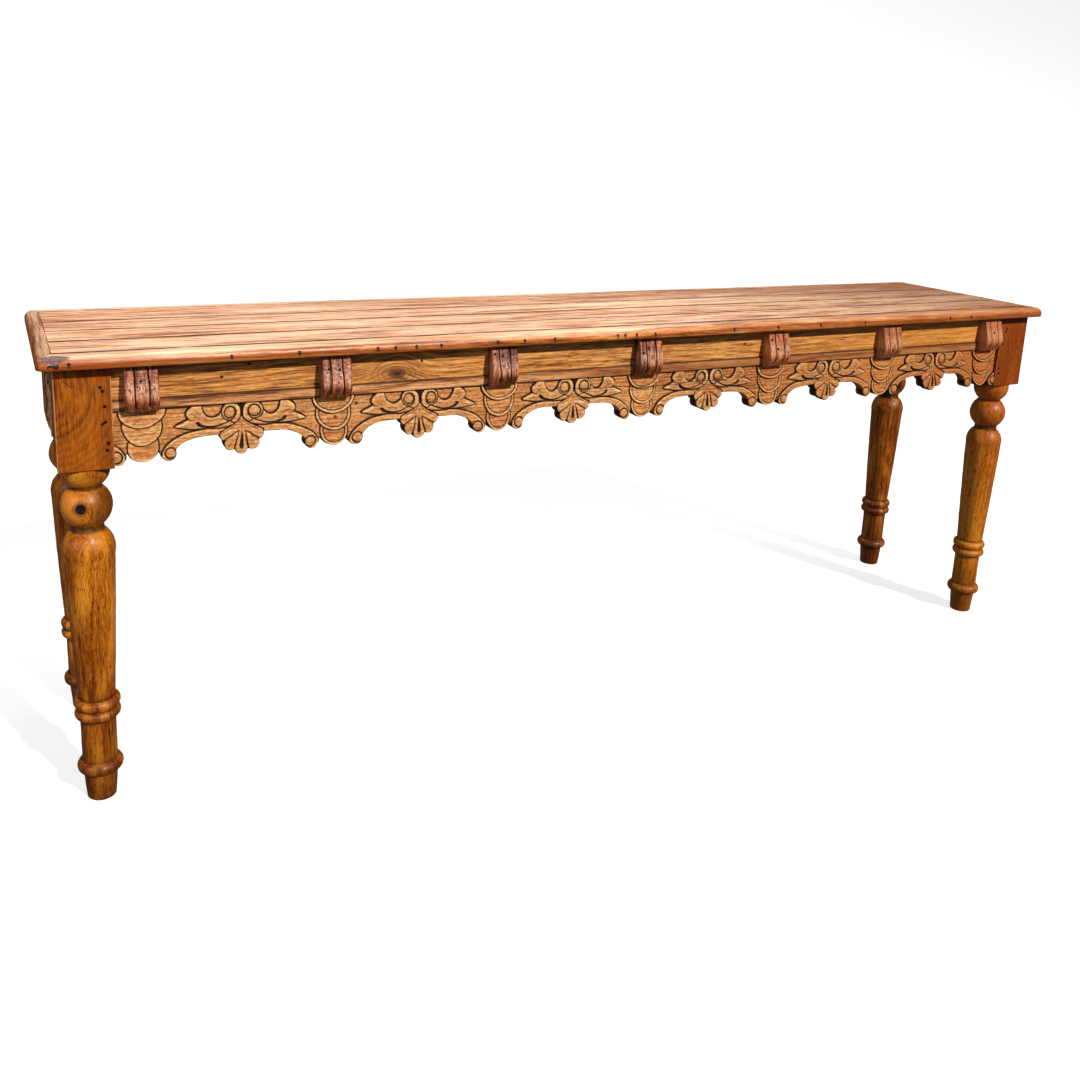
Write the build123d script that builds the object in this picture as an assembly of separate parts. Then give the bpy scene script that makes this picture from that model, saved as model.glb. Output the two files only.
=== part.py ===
from build123d import *

import os

# Communion table: a long, narrow wooden table with four turned legs, a boarded top with moulded
# edge strips, and a carved front apron of valance and corbels. Millimetres, +X along the length,
# +Y to the back, +Z up; the origin is the centre of the footprint on the floor.

os.makedirs("parts", exist_ok=True)

# Overall size
length = 2122.0
depth = 446.0
height = 762.0

# Top
top_t = 20.0
nosing_r = 13.0
corner_r = 15.0
strip_long_w = 33.0  # front and back edge strips
strip_end_w = 24.0  # left and right edge strips
board_widths = (93.5, 90.0, 87.0, 109.5)  # from the front to the back
groove = 0.9  # chamfer on each board edge

# Legs
leg_x = length / 2 - 63.0
leg_y = depth / 2 - 65.0
block = 82.0
block_bottom = 578.0
ball_z = 506.5
lifts = {"front_left": 5.5, "front_right": -2.0}  # the hand-turned balls are not at one height
ball_r = 39.4
neck_r = 25.0
ring_r = 36.5

# Rails
under = height - top_t
face_x = leg_x + block / 2  # outer faces of the leg blocks
face_y = leg_y + block / 2
inner_x = leg_x - block / 2
inner_y = leg_y - block / 2
rail_t = 22.0
recess = 5.0  # rail faces stand back from the block faces
rail_bottom = 668.0
back_rail_bottom = 640.0
fillet_top = 685.0
fillet_t = 3.0
tenon_t = 12.0
tenon_l = 32.0
play = 0.1

# Carved valance
valance_t = 24.0
valance_face = face_y - 1.5  # distance of its front from the table's middle
bays = 6
pitch = 304.8
carve = 5.5  # depth of the carved ground
valance_tenon = (604.0, 658.0)

# Corbels
corbel_w = 50.0
lip_h = 8.0
corbel_front = (
    (15.0, under),
    (20.5, 722.0),
    (25.5, 705.0),
    (27.8, 693.0),
    (26.5, 684.0),
    (20.5, 675.0),
    (14.0, rail_bottom),
)  # distance out from the rail face, and height

# Fasteners
nail_r = 1.5
nail_head_r = 2.6
edge_nail_z = under + 9.0
front_edge_nails = (
    (-1016, -781, -674, -543, -512, -475, -430, -324, -272, -212)
    + (-81, -65, -40, 1, 183, 291, 400, 519, 763, 827)
)
leg_nails = ((18.0, 710.0), (13.0, 704.0), (11.0, 678.0), (8.0, 620.0), (10.0, 609.0))
corbel_nails = (
    ((-2.0, 717.0),),
    ((-14.5, 718.0), (3.6, 717.0)),
    ((-20.0, 727.0), (-5.0, 723.0)),
    ((-6.0, 721.0), (-19.0, 713.0)),
    ((-20.0, 723.0), (-6.5, 705.0)),
    ((-2.6, 687.0),),
    ((-2.4, 710.0),),
)  # for each corbel, the offset from its middle and the height


def prism(points, low, high):
    """A straight prism on a plan polygon."""
    return extrude(Pos(0, 0, low) * make_face(Polyline(*points, close=True)), high - low)


def block_between(x0, x1, y0, y1, z0, z1):
    return Pos((x0 + x1) / 2, (y0 + y1) / 2, (z0 + z1) / 2) * Box(x1 - x0, y1 - y0, z1 - z0)


def nail(size, radius=nail_r, head_r=nail_head_r, grow=0.0):
    """A nail with its head at the origin, pointing along +Z."""
    shank = Cylinder(radius + grow, size + grow, align=(Align.CENTER, Align.CENTER, Align.MIN))
    head = Cylinder(head_r + grow, 1.2, align=(Align.CENTER, Align.CENTER, Align.MIN))
    return shank + head


def save(shape, name):
    shape.label = name
    export_step(shape, f"parts/{name}.step")


# ---------------------------------------------------------------- places of the fasteners
def edge_nail_places():
    """Nails through the edge strips into the boards: location of the head, pointing inwards."""
    z = edge_nail_z
    places = []
    for x in front_edge_nails:
        places.append(Pos(x, -depth / 2 + 0.3, z) * Rot(-90, 0, 0))
    for i in range(11):
        places.append(Pos(-930.0 + 186.0 * i, depth / 2 - 0.3, z) * Rot(90, 0, 0))
    for y in (-140.0, -50.0, 40.0, 140.0):
        places.append(Pos(-length / 2 + 0.3, y, z) * Rot(0, 90, 0))
        places.append(Pos(length / 2 - 0.3, y, z) * Rot(0, -90, 0))
    return places


def leg_nail_places():
    """Nails through the front faces of the front blocks into the rail and valance tenons."""
    places = []
    for side in (-1, 1):
        for off, z in leg_nails:
            places.append(Pos(side * (inner_x + off), -face_y + 0.3, z) * Rot(-90, 0, 0))
    return places


def corbel_x():
    return [(i - bays / 2) * pitch for i in range(bays + 1)]


def corbel_out(z):
    """How far the front of a corbel stands out from the rail face at a height."""
    for (near, high), (far, low) in zip(corbel_front, corbel_front[1:]):
        if low <= z <= high:
            return near + (far - near) * (high - z) / (high - low)
    return 0.0


def corbel_nail_places():
    """Nails through each corbel into the front rail."""
    rail_face = face_y - recess
    places = []
    for x, spots in zip(corbel_x(), corbel_nails):
        for off, z in spots:
            places.append(Pos(x + off, -rail_face - corbel_out(z), z) * Rot(-90, 0, 0))
    return places


batten_x = (-500.0, 0.0, 500.0)
batten_w = 45.0
batten_t = 22.0


def board_edges():
    """The y positions of the joints between the boards, from front to back."""
    edges = [-depth / 2 + strip_long_w]
    for w in board_widths:
        edges.append(edges[-1] + w)
    return edges


def screw_places():
    """Wood screws up through the battens into each board."""
    edges = board_edges()
    places = []
    for x in batten_x:
        for near, far in zip(edges, edges[1:]):
            y = min(max((near + far) / 2, -150.0), 150.0)
            places.append(Pos(x, y, under - batten_t) * Rot(0, 0, 0))
    return places


def screw(grow=0.0):
    """A countersunk wood screw, head down, pointing along +Z."""
    shank = Cylinder(2.0 + grow, 34.0 + grow, align=(Align.CENTER, Align.CENTER, Align.MIN))
    head = Cone(4.0 + grow, 2.0 + grow, 2.4, align=(Align.CENTER, Align.CENTER, Align.MIN))
    return shank + head


# ---------------------------------------------------------------- top
def top_slab():
    slab = Pos(0, 0, under + top_t / 2) * Box(length, depth, top_t)
    slab = fillet(slab.edges().filter_by(Axis.Z), corner_r)
    return fillet(slab.faces().sort_by(Axis.Z)[-1].edges(), nosing_r)


def top_edges():
    """The four mitred strips round the boards, with a quarter-round upper edge."""
    x0, y0 = length / 2, depth / 2
    x1, y1 = x0 - strip_end_w, y0 - strip_long_w
    plans = {
        "top_edge_front": [(-x0, -y0), (x0, -y0), (x1, -y1), (-x1, -y1)],
        "top_edge_back": [(x0, y0), (-x0, y0), (-x1, y1), (x1, y1)],
        "top_edge_left": [(-x0, y0), (-x0, -y0), (-x1, -y1), (-x1, y1)],
        "top_edge_right": [(x0, -y0), (x0, y0), (x1, y1), (x1, -y1)],
    }
    slab = top_slab()
    cut = [place * nail(46, grow=play) for place in edge_nail_places()]
    for name, plan in plans.items():
        strip = slab & prism(plan, under - 1, height + 1)
        box = strip.bounding_box()
        near = [c for c in cut if overlaps(c, box)]
        save(strip - near, name)


def overlaps(shape, box):
    b = shape.bounding_box()
    return (
        b.min.X < box.max.X
        and b.max.X > box.min.X
        and b.min.Y < box.max.Y
        and b.max.Y > box.min.Y
        and b.min.Z < box.max.Z
        and b.max.Z > box.min.Z
    )


def top_boards():
    edges = board_edges()
    half = length / 2 - strip_end_w
    cut = [place * nail(46, grow=play) for place in edge_nail_places()]
    cut += [place * screw(play) for place in screw_places()]
    for i, (near, far) in enumerate(zip(edges, edges[1:])):
        board = block_between(-half, half, near, far, under, height)
        rim = board.faces().sort_by(Axis.Z)[-1].edges().filter_by(Axis.X)
        board = chamfer(rim, groove)
        box = board.bounding_box()
        save(board - [c for c in cut if overlaps(c, box)], f"top_board_{i + 1}")


# ---------------------------------------------------------------- legs
def turned_leg(lift):
    """The turned part below the block, about the Z axis, with its ball and necks lifted."""
    mid = ball_z + lift
    right = [
        Polyline((0, 0), (21.5, 0)),
        ThreePointArc((21.5, 0), (22.9, 0.7), (23.4, 2.2)),
        Line((23.4, 2.2), (27.0, 46.0)),
        Polyline((27.0, 46.0), (27.6, 48.0)),
        ThreePointArc((27.6, 48.0), (ring_r, 59.0), (28.6, 70.0)),
        Line((28.6, 70.0), (28.0, 74.0)),
        Line((28.0, 74.0), (28.3, 145.5)),
        ThreePointArc((28.3, 145.5), (ring_r, 154.0), (31.5, 162.5)),
        Line((31.5, 162.5), (31.5, 165.0)),
        ThreePointArc((31.5, 165.0), (ring_r, 173.5), (29.0, 182.5)),
        ThreePointArc((29.0, 182.5), (34.6, 300.0), (39.4, 428.0)),
        ThreePointArc((39.4, 428.0), (37.2, 451.0 + lift), (27.5, mid - 41.0)),
        Polyline((27.5, mid - 41.0), (neck_r, mid - 40.0), (neck_r, mid - 30.4)),
        ThreePointArc((neck_r, mid - 30.4), (ball_r, mid), (neck_r, mid + 30.4)),
        Polyline((neck_r, mid + 30.4), (neck_r, mid + 34.0), (26.5, mid + 35.0)),
        ThreePointArc((26.5, mid + 35.0), (35.2, mid + 47.0), (38.6, mid + 61.5)),
        Polyline((38.6, mid + 61.5), (38.6, block_bottom), (0, block_bottom), (0, 0)),
    ]
    outline = make_face(Wire(combine_edges(right)))
    return revolve(Plane.XZ * outline, Axis.Z)


def combine_edges(pieces):
    edges = []
    for piece in pieces:
        edges += piece.edges()
    return edges


def leg_blank(lift):
    """A leg about its own centre line, with its square block on top."""
    cube = Pos(0, 0, (block_bottom + under) / 2) * Box(block, block, under - block_bottom)
    cube = chamfer(cube.faces().sort_by(Axis.Z)[0].edges(), 2.5)
    cube = fillet(cube.edges().filter_by(Axis.Z), 1.2)
    return turned_leg(lift) + cube


def legs(rails):
    """The four legs, mortised for the tenons and drilled for the nails."""
    drill = [place * nail(26, grow=play) for place in leg_nail_places()]
    for side, word in ((-1, "left"), (1, "right")):
        for end, name in ((-1, "front"), (1, "back")):
            blank = leg_blank(lifts.get(f"{name}_{word}", 0.0))
            leg = Pos(side * leg_x, end * leg_y, 0) * blank
            box = leg.bounding_box()
            cut = [t for t in rails if overlaps(t, box)]
            cut += [d for d in drill if overlaps(d, box)]
            save(leg - cut, f"leg_{name}_{word}")


# ---------------------------------------------------------------- rails
def long_tenons(mid_y, z0, z1, grow=0.0):
    """The two end tenons of a piece that runs along X."""
    t = tenon_t / 2 + grow
    return [
        block_between(
            side * inner_x if side > 0 else -inner_x - tenon_l - grow,
            inner_x + tenon_l + grow if side > 0 else -inner_x,
            mid_y - t,
            mid_y + t,
            z0 - grow,
            z1 + grow,
        )
        for side in (-1, 1)
    ]


def short_tenons(mid_x, z0, z1, grow=0.0):
    """The two end tenons of a piece that runs along Y."""
    t = tenon_t / 2 + grow
    return [
        block_between(
            mid_x - t,
            mid_x + t,
            inner_y if side > 0 else -inner_y - tenon_l - grow,
            inner_y + tenon_l + grow if side > 0 else -inner_y,
            z0 - grow,
            z1 + grow,
        )
        for side in (-1, 1)
    ]


rail_mid_y = face_y - recess - rail_t / 2
rail_mid_x = face_x - recess - rail_t / 2
valance_mid_y = valance_face - valance_t / 2
valance_mid_x = face_x - 1.5 - valance_t / 2


def mortises():
    """Every tenon once more with play round it, to cut from the legs."""
    cuts = long_tenons(-rail_mid_y, rail_bottom + 10, under - 12, play)
    cuts += long_tenons(rail_mid_y, back_rail_bottom + 12, under - 12, play)
    cuts += long_tenons(-valance_mid_y, *valance_tenon, play)
    for side in (-1, 1):
        cuts += short_tenons(side * rail_mid_x, rail_bottom + 10, under - 12, play)
        cuts += short_tenons(side * valance_mid_x, *valance_tenon, play)
    return cuts


def front_rail():
    rail = block_between(
        -inner_x, inner_x, -rail_mid_y - rail_t / 2, -rail_mid_y + rail_t / 2, rail_bottom, under
    )
    rail += long_tenons(-rail_mid_y, rail_bottom + 10, under - 12)
    drill = [place * nail(34, grow=play) for place in corbel_nail_places()]
    drill += [place * nail(26, grow=play) for place in leg_nail_places()]
    box = rail.bounding_box()
    save(rail - [d for d in drill if overlaps(d, box)], "front_rail")


def front_fillet():
    face = face_y - recess
    strip = block_between(-inner_x, inner_x, -face - fillet_t, -face, rail_bottom, fillet_top)
    strip = chamfer(strip.faces().sort_by(Axis.Y)[0].edges().filter_by(Axis.X), 1.0)
    save(strip, "front_fillet")


def back_rail():
    rail = block_between(
        -inner_x, inner_x, rail_mid_y - rail_t / 2, rail_mid_y + rail_t / 2, back_rail_bottom, under
    )
    save(rail + long_tenons(rail_mid_y, back_rail_bottom + 12, under - 12), "back_rail")


def side_rails():
    for side, word in ((-1, "left"), (1, "right")):
        mid = side * rail_mid_x
        rail = block_between(
            mid - rail_t / 2, mid + rail_t / 2, -inner_y, inner_y, rail_bottom, under
        )
        save(rail + short_tenons(mid, rail_bottom + 10, under - 12), f"side_rail_{word}")


# ---------------------------------------------------------------- carved valance
def ellipse_at(s, z, a, b, turn=0.0):
    return Pos(s, z) * Rot(0, 0, turn) * Ellipse(a, b)


def circle_at(s, z, r):
    return Pos(s, z) * Circle(r)


def both(shape):
    """A flat shape and its mirror image about the middle of a bay."""
    return [shape, mirror(shape, Plane.YZ)]


def join(shapes):
    whole = shapes[0]
    for shape in shapes[1:]:
        whole = whole + shape
    return whole


def palmette_outline():
    """The hanging fan in the middle of a bay: five round lobes on a waisted stem."""
    lobes = [circle_at(0, 592.5, 11.0)]
    for s, z, r in ((16.5, 601.0, 11.5), (24.5, 616.0, 10.5)):
        lobes += both(circle_at(s, z, r))
    heart = Polygon((-24, 622), (-14, 598), (14, 598), (24, 622), align=None)
    return join(lobes + [heart])


def drop_outline(s, widths=(36.0, 30.5, 24.0)):
    """Three overlapping hanging scales, each narrower than the one above."""
    tiers = [(652.0, widths[0], 14.0), (627.0, widths[1], 18.0), (600.0, widths[2], 18.0)]
    shapes = []
    for z, a, b in tiers:
        shapes.append(ellipse_at(s, z, a, b))
    shapes.append(Pos(s, 655) * Rectangle(2 * widths[1], 26))
    shapes.append(Pos(s, 615) * Rectangle(2 * widths[2], 30))
    return join(shapes)


def curl_outline(s):
    return circle_at(s, 594.0, 13.0)


def bay_web():
    """The upper body of one bay between the middles of its two drops."""
    half = pitch / 2
    right = [(36, 617.5), (70, 617.0), (88, 611.5), (100, 603.0), (104, 596.0), (half, 600)]
    left = [(-s, z) for s, z in reversed(right)]
    return Polygon(*right, (half, rail_bottom), (-half, rail_bottom), *left, align=None)


def valance_outline():
    """The front valance seen from the front, in (x, z)."""
    shapes = []
    for i in range(bays):
        mid = (i - bays / 2 + 0.5) * pitch
        shapes.append(Pos(mid, 0) * bay_web())
        shapes.append(Pos(mid, 0) * palmette_outline())
        for s in (-115.0, 115.0):
            shapes.append(curl_outline(mid + s))
    for x in corbel_x():
        shapes.append(drop_outline(x))
    for side in (-1, 1):
        end_mid = side * (bays / 2 * pitch + inner_x) / 2
        run = inner_x - bays / 2 * pitch
        shapes.append(Pos(end_mid, (600 + rail_bottom) / 2) * Rectangle(run, rail_bottom - 600))
        shapes.append(ellipse_at(side * (inner_x - 9.0), 600.0, 9.0, 18.0))
    keep = Pos(0, 620) * Rectangle(2 * inner_x, 2 * (rail_bottom - 620))
    return join(shapes) & keep


def volute_grooves():
    """Grooves round the two scrolls above the fan."""
    cuts = []
    for ring, width in ((12.8, 1.6), (7.2, 1.4)):
        eye = circle_at(19.6, 655.0, ring) - circle_at(19.6, 655.0, ring - width)
        cuts += both(eye)
    return cuts


def carved_ground():
    """Flat shapes of one bay that are sunk into the face, with the depth of each."""
    cuts = []
    for hollow in both(circle_at(47.0, rail_bottom, 15.0)):
        cuts.append((hollow, carve))
    for gap in both(Polygon((101, 668), (114, 668), (117, 634), (108, 640), (104, 652), align=None)):
        cuts.append((gap, carve))
    for ring in volute_grooves():
        cuts.append((ring, 2.5))
    for gouge in both(ellipse_at(53.0, 634.5, 19.0, 2.6, 14.0)):
        cuts.append((gouge, 3.5))
    for vein in both(ellipse_at(93.0, 646.0, 11.0, 1.8, -38.0)):
        cuts.append((vein, 3.0))
    for line in both(ellipse_at(66.0, 627.5, 30.0, 1.3, -4.0)):
        cuts.append((line, 2.0))
    cuts.append((ellipse_at(0, 605.0, 3.4, 12.0), 4.0))
    for s, z, turn in ((9.0, 607.0, 35.0), (14.5, 618.0, 62.0)):
        for flute in both(ellipse_at(s, z, 1.4, 11.0, turn)):
            cuts.append((flute, 2.5))
    for curl in both(circle_at(114.0, 594.0, 8.0) - circle_at(114.0, 594.0, 6.2)):
        cuts.append((curl, 2.5))
    return cuts


def drop_steps(s, widths=(36.0, 30.5, 24.0)):
    """Sunk areas that leave each scale of a drop standing over the next one."""
    whole = drop_outline(s, widths)
    upper = ellipse_at(s, 653.0, widths[0], 14.5) + Pos(s, 664) * Rectangle(2 * widths[0], 22)
    middle = ellipse_at(s, 628.0, widths[1], 18.5) + Pos(s, 650) * Rectangle(2 * widths[1], 44)
    below_upper = whole - upper
    below_middle = below_upper - middle
    return [(below_upper, 1.8), (below_middle, 3.8)]


def sink(shape, depth_mm, mid=0.0):
    """A solid that cuts a flat (x, z) shape into the front face of the front valance."""
    face = Plane.XZ * (Pos(mid, 0) * shape)
    return Pos(0, -valance_face + depth_mm, 0) * extrude(face, 2 * depth_mm)


def front_valance():
    body = Pos(0, -valance_face + valance_t, 0) * extrude(Plane.XZ * valance_outline(), valance_t)
    cuts = []
    for i in range(bays):
        mid = (i - bays / 2 + 0.5) * pitch
        for shape, deep in carved_ground():
            cuts.append(sink(shape, deep, mid))
    for x in corbel_x():
        for shape, deep in drop_steps(x):
            cuts.append(sink(shape, deep))
    body = body - cuts
    body = body + long_tenons(-valance_mid_y, *valance_tenon)
    drill = [place * nail(26, grow=play) for place in leg_nail_places()]
    box = body.bounding_box()
    save(body - [d for d in drill if overlaps(d, box)], "front_valance")


def side_valances():
    """One carved bay, drawn narrower, between the front and back legs."""
    web = [(36, 617.5), (64, 617.0), (82, 611.5), (93, 603.0), (97, 596.0), (inner_y, 598)]
    left = [(-s, z) for s, z in reversed(web)]
    outline = Polygon(*web, (inner_y, rail_bottom), (-inner_y, rail_bottom), *left, align=None)
    outline = join([outline, palmette_outline()] + both(curl_outline(inner_y - 13.0)))
    shapes = [(s, d) for s, d in carved_ground()]
    body = Pos(0, -valance_face + valance_t, 0) * extrude(Plane.XZ * outline, valance_t)
    keep = block_between(-inner_y, inner_y, -400, 400, 500, 800)
    cuts = []
    for shape, deep in shapes:
        box = shape.bounding_box()
        shift = 0.0
        if box.min.X > 80:
            shift = inner_y - 13.0 - 114.0
        if box.max.X < -80:
            shift = -(inner_y - 13.0 - 114.0)
        cuts.append(sink(shape, deep, shift))
    body = (body - cuts) & keep
    for side, word in ((-1, "left"), (1, "right")):
        turned = Rot(0, 0, 90 * side) * body
        placed = Pos(side * (face_x - 1.5 - valance_face), 0, 0) * turned
        save(placed + short_tenons(side * valance_mid_x, *valance_tenon), f"side_valance_{word}")


# ---------------------------------------------------------------- corbels
def corbel_profile():
    """The side outline in (out, z), measured out from the rail face."""
    low = rail_bottom
    first, last = corbel_front[0], corbel_front[-1]
    front = Spline(*corbel_front)
    back = Polyline(last, (fillet_t, low), (fillet_t, fillet_top), (0, fillet_top), (0, under), first)
    return make_face(Wire(combine_edges([front, back])))


def corbel():
    """A bracket with three rounded upright lobes that end in a plain lip."""
    solid = extrude(Plane.YZ * mirror(corbel_profile(), Plane.YZ), corbel_w / 2, both=True)
    for x in (-10.2, 10.2):
        solid -= Pos(x, -24.0, 712.0) * Box(1.8, 26.0, 2 * (712.0 - rail_bottom - lip_h))
    return solid


def corbels():
    rail_face = face_y - recess
    drill = [place * nail(34, grow=play) for place in corbel_nail_places()]
    shape = corbel()
    for i, x in enumerate(corbel_x()):
        placed = Pos(x, -rail_face, 0) * shape
        box = placed.bounding_box()
        save(placed - [d for d in drill if overlaps(d, box)], f"corbel_{i + 1}")


# ---------------------------------------------------------------- battens and fasteners
def battens():
    near = -rail_mid_y + rail_t / 2
    drill = [place * screw(play) for place in screw_places()]
    for i, x in enumerate(batten_x):
        bar = block_between(
            x - batten_w / 2, x + batten_w / 2, near, rail_mid_y - rail_t / 2, under - batten_t, under
        )
        box = bar.bounding_box()
        save(bar - [d for d in drill if overlaps(d, box)], f"cross_batten_{i + 1}")


def fasteners():
    save(Compound(children=[p * nail(45) for p in edge_nail_places()]), "edge_nails")
    save(Compound(children=[p * nail(25) for p in leg_nail_places()]), "leg_nails")
    save(Compound(children=[p * nail(33) for p in corbel_nail_places()]), "corbel_nails")
    save(Compound(children=[p * screw() for p in screw_places()]), "batten_screws")


top_edges()
top_boards()
legs(mortises())
front_rail()
front_fillet()
back_rail()
side_rails()
front_valance()
side_valances()
corbels()
battens()
fasteners()
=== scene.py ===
import math

import bmesh
import bpy
import numpy as np
from mathutils import Matrix, Vector
from mathutils.geometry import tessellate_polygon


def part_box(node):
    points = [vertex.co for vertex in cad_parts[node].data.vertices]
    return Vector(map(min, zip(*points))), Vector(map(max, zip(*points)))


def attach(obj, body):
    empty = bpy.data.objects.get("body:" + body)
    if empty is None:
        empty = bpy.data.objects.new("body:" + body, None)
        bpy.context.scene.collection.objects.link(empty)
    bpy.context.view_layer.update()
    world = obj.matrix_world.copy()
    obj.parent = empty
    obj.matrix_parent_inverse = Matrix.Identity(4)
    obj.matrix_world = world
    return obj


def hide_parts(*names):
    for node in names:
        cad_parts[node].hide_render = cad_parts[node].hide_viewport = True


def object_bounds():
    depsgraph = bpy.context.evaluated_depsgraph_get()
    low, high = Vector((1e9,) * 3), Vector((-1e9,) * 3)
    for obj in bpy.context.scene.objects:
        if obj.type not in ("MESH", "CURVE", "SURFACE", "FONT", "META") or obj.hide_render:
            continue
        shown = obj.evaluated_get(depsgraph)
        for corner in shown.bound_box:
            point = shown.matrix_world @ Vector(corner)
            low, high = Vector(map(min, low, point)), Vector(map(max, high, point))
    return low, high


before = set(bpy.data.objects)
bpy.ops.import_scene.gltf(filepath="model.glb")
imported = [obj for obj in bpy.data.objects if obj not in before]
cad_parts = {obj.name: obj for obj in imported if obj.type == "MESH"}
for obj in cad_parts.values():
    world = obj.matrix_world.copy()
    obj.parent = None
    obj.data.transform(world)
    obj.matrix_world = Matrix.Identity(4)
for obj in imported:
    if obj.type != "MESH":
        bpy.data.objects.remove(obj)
cad_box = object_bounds()

# Shapes are in millimetres until a mesh is made. The frame, the materials and the studio are in metres.
MM = 0.001

# ---------------------------------------------------------------- sizes
def box_of(node):
    """A node's lowest and highest corners, in millimetres."""
    return [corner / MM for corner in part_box(node)]


half_length, half_depth, top_z = cad_box[1] / MM
board_low, board_high = box_of("top_board_1")
under_z = board_low.z
inner_half_x = board_high.x
inner_half_y = abs(board_low.y)
nosing_r = 13.0
corner_r = 15.0

fillet_low, fillet_high = box_of("front_fillet")
apron_half_x = fillet_high.x
rail_face_y = fillet_high.y
fillet_top_z = fillet_high.z
apron_z = fillet_low.z
valance_low, valance_high = box_of("front_valance")
valance_front_y = valance_low.y
valance_back_y = valance_high.y
apron_half_y = 117.0
carving_top = 6.0  # the highest carving over its ground

bay_pitch = 304.8
bay_count = 6
drop_x = bay_pitch / 2  # distance from the middle of a bay to the middle of a drop


# ---------------------------------------------------------------- small numeric helpers
def waves(seed, count, shortest, longest):
    """A smooth field of two coordinates, about -1 to 1, made of sine waves of seeded direction and phase."""
    rng = np.random.default_rng(seed)
    length = np.exp(rng.uniform(math.log(shortest), math.log(longest), count))
    angle = rng.uniform(0, 2 * math.pi, count)
    phase = rng.uniform(0, 2 * math.pi, count)

    def field(u, v):
        total = np.zeros(np.broadcast(u, v).shape)
        for size, turn, start in zip(length, angle, phase):
            total += np.sin((u * math.cos(turn) + v * math.sin(turn)) * 2 * math.pi / size + start)
        return total / math.sqrt(count)

    return field


def smooth_step(low, high, x):
    """0 at low, 1 at high, with a soft start and end."""
    t = np.clip((x - low) / (high - low), 0, 1)
    return t * t * (3 - 2 * t)


def blur(field, reach):
    """A triangle-weighted blur over both directions of a grid, reach in cells."""
    weights = np.bartlett(2 * reach + 3)[1:-1]
    weights /= weights.sum()
    padded = np.pad(field, reach, mode="edge")
    padded = np.apply_along_axis(lambda row: np.convolve(row, weights, mode="valid"), 0, padded)
    return np.apply_along_axis(lambda row: np.convolve(row, weights, mode="valid"), 1, padded)


def curve_through(points, closed=True, steps=8):
    """Points of a Catmull-Rom curve through the given ones."""
    p = np.array(points, float)
    p = np.vstack([p[-1:], p, p[:2]]) if closed else np.vstack([2 * p[0] - p[1], p, 2 * p[-1] - p[-2]])
    t = np.linspace(0, 1, steps, endpoint=False)[:, None]
    out = []
    for a, b, c, d in zip(p, p[1:], p[2:], p[3:]):
        out.append(
            0.5 * (2 * b + (c - a) * t + (2 * a - 5 * b + 4 * c - d) * t**2 + (3 * b - a - 3 * c + d) * t**3)
        )
    out = np.vstack(out)
    return out if closed else np.vstack([out, p[-2]])


def arc_points(first, middle, last, steps=10):
    """Points of the circular arc through three points, without the first."""
    (ax, ay), (bx, by), (cx, cy) = first, middle, last
    d = 2 * (ax * (by - cy) + bx * (cy - ay) + cx * (ay - by))
    ux = ((ax**2 + ay**2) * (by - cy) + (bx**2 + by**2) * (cy - ay) + (cx**2 + cy**2) * (ay - by)) / d
    uy = ((ax**2 + ay**2) * (cx - bx) + (bx**2 + by**2) * (ax - cx) + (cx**2 + cy**2) * (bx - ax)) / d
    r = math.hypot(ax - ux, ay - uy)
    start, mid, end = (math.atan2(y - uy, x - ux) for x, y in (first, middle, last))
    mid = start + (mid - start + math.pi) % (2 * math.pi) - math.pi
    end = mid + (end - mid + math.pi) % (2 * math.pi) - math.pi
    turns = [start + (end - start) * i / steps for i in range(1, steps + 1)]
    return [(ux + r * math.cos(t), uy + r * math.sin(t)) for t in turns]


def path_distance(a, z, points):
    """Distance of each grid point to an open path, and how far along the path (0 to 1) it is nearest."""
    points = np.array(points, float)
    lengths = np.hypot(*(points[1:] - points[:-1]).T)
    walked = np.concatenate([[0], np.cumsum(lengths)])
    best = np.full(a.shape, 1e9)
    where = np.zeros(a.shape)
    for (pa, pz), (qa, qz), size, done in zip(points, points[1:], lengths, walked):
        t = np.clip(((a - pa) * (qa - pa) + (z - pz) * (qz - pz)) / max(size * size, 1e-9), 0, 1)
        d = np.hypot(a - pa - t * (qa - pa), z - pz - t * (qz - pz))
        nearer = d < best
        best = np.where(nearer, d, best)
        where = np.where(nearer, (done + t * size) / walked[-1], where)
    return best, where


def shape_distance(a, z, points):
    """Signed distance to a closed outline, negative inside."""
    points = np.array(points, float)
    d, _ = path_distance(a, z, np.vstack([points, points[:1]]))
    inside = np.zeros(a.shape, bool)
    for (pa, pz), (qa, qz) in zip(points, np.roll(points, -1, 0)):
        if pz == qz:
            continue
        crosses = ((pz > z) != (qz > z)) & (a < (qa - pa) * (z - pz) / (qz - pz) + pa)
        inside ^= crosses
    return np.where(inside, -d, d)


def oval_distance(a, z, ca, cz, ra, rz):
    """Roughly the signed distance to an oval, negative inside."""
    k = np.hypot((a - ca) / ra, (z - cz) / rz)
    g = np.hypot((a - ca) / ra**2, (z - cz) / rz**2)
    return k * (k - 1) / np.maximum(g, 1e-6)


def nail_heads(node):
    """Where the nails of a CAD node start, in millimetres: the outermost point of each nail."""
    points = np.array([v.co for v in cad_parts[node].data.vertices]) / MM
    heads = []
    for point in points[np.argsort(points[:, 1])]:
        near = [head for head in heads if abs(head[0][0] - point[0]) < 6 and abs(head[0][2] - point[2]) < 6]
        if near:
            near[0].append(point)
        else:
            heads.append([point])
    return [np.mean([q for q in head if q[1] < head[0][1] + 0.5], axis=0) for head in heads]


def spots_at(places, verts, full=2.3, none=3.5):
    """1 close to any of the places, 0 away from them."""
    verts = np.asarray(verts, float)
    value = np.zeros(len(verts))
    for place in places:
        value = np.maximum(value, 1 - smooth_step(full, none, np.linalg.norm(verts - place, axis=1)))
    return value


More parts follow.
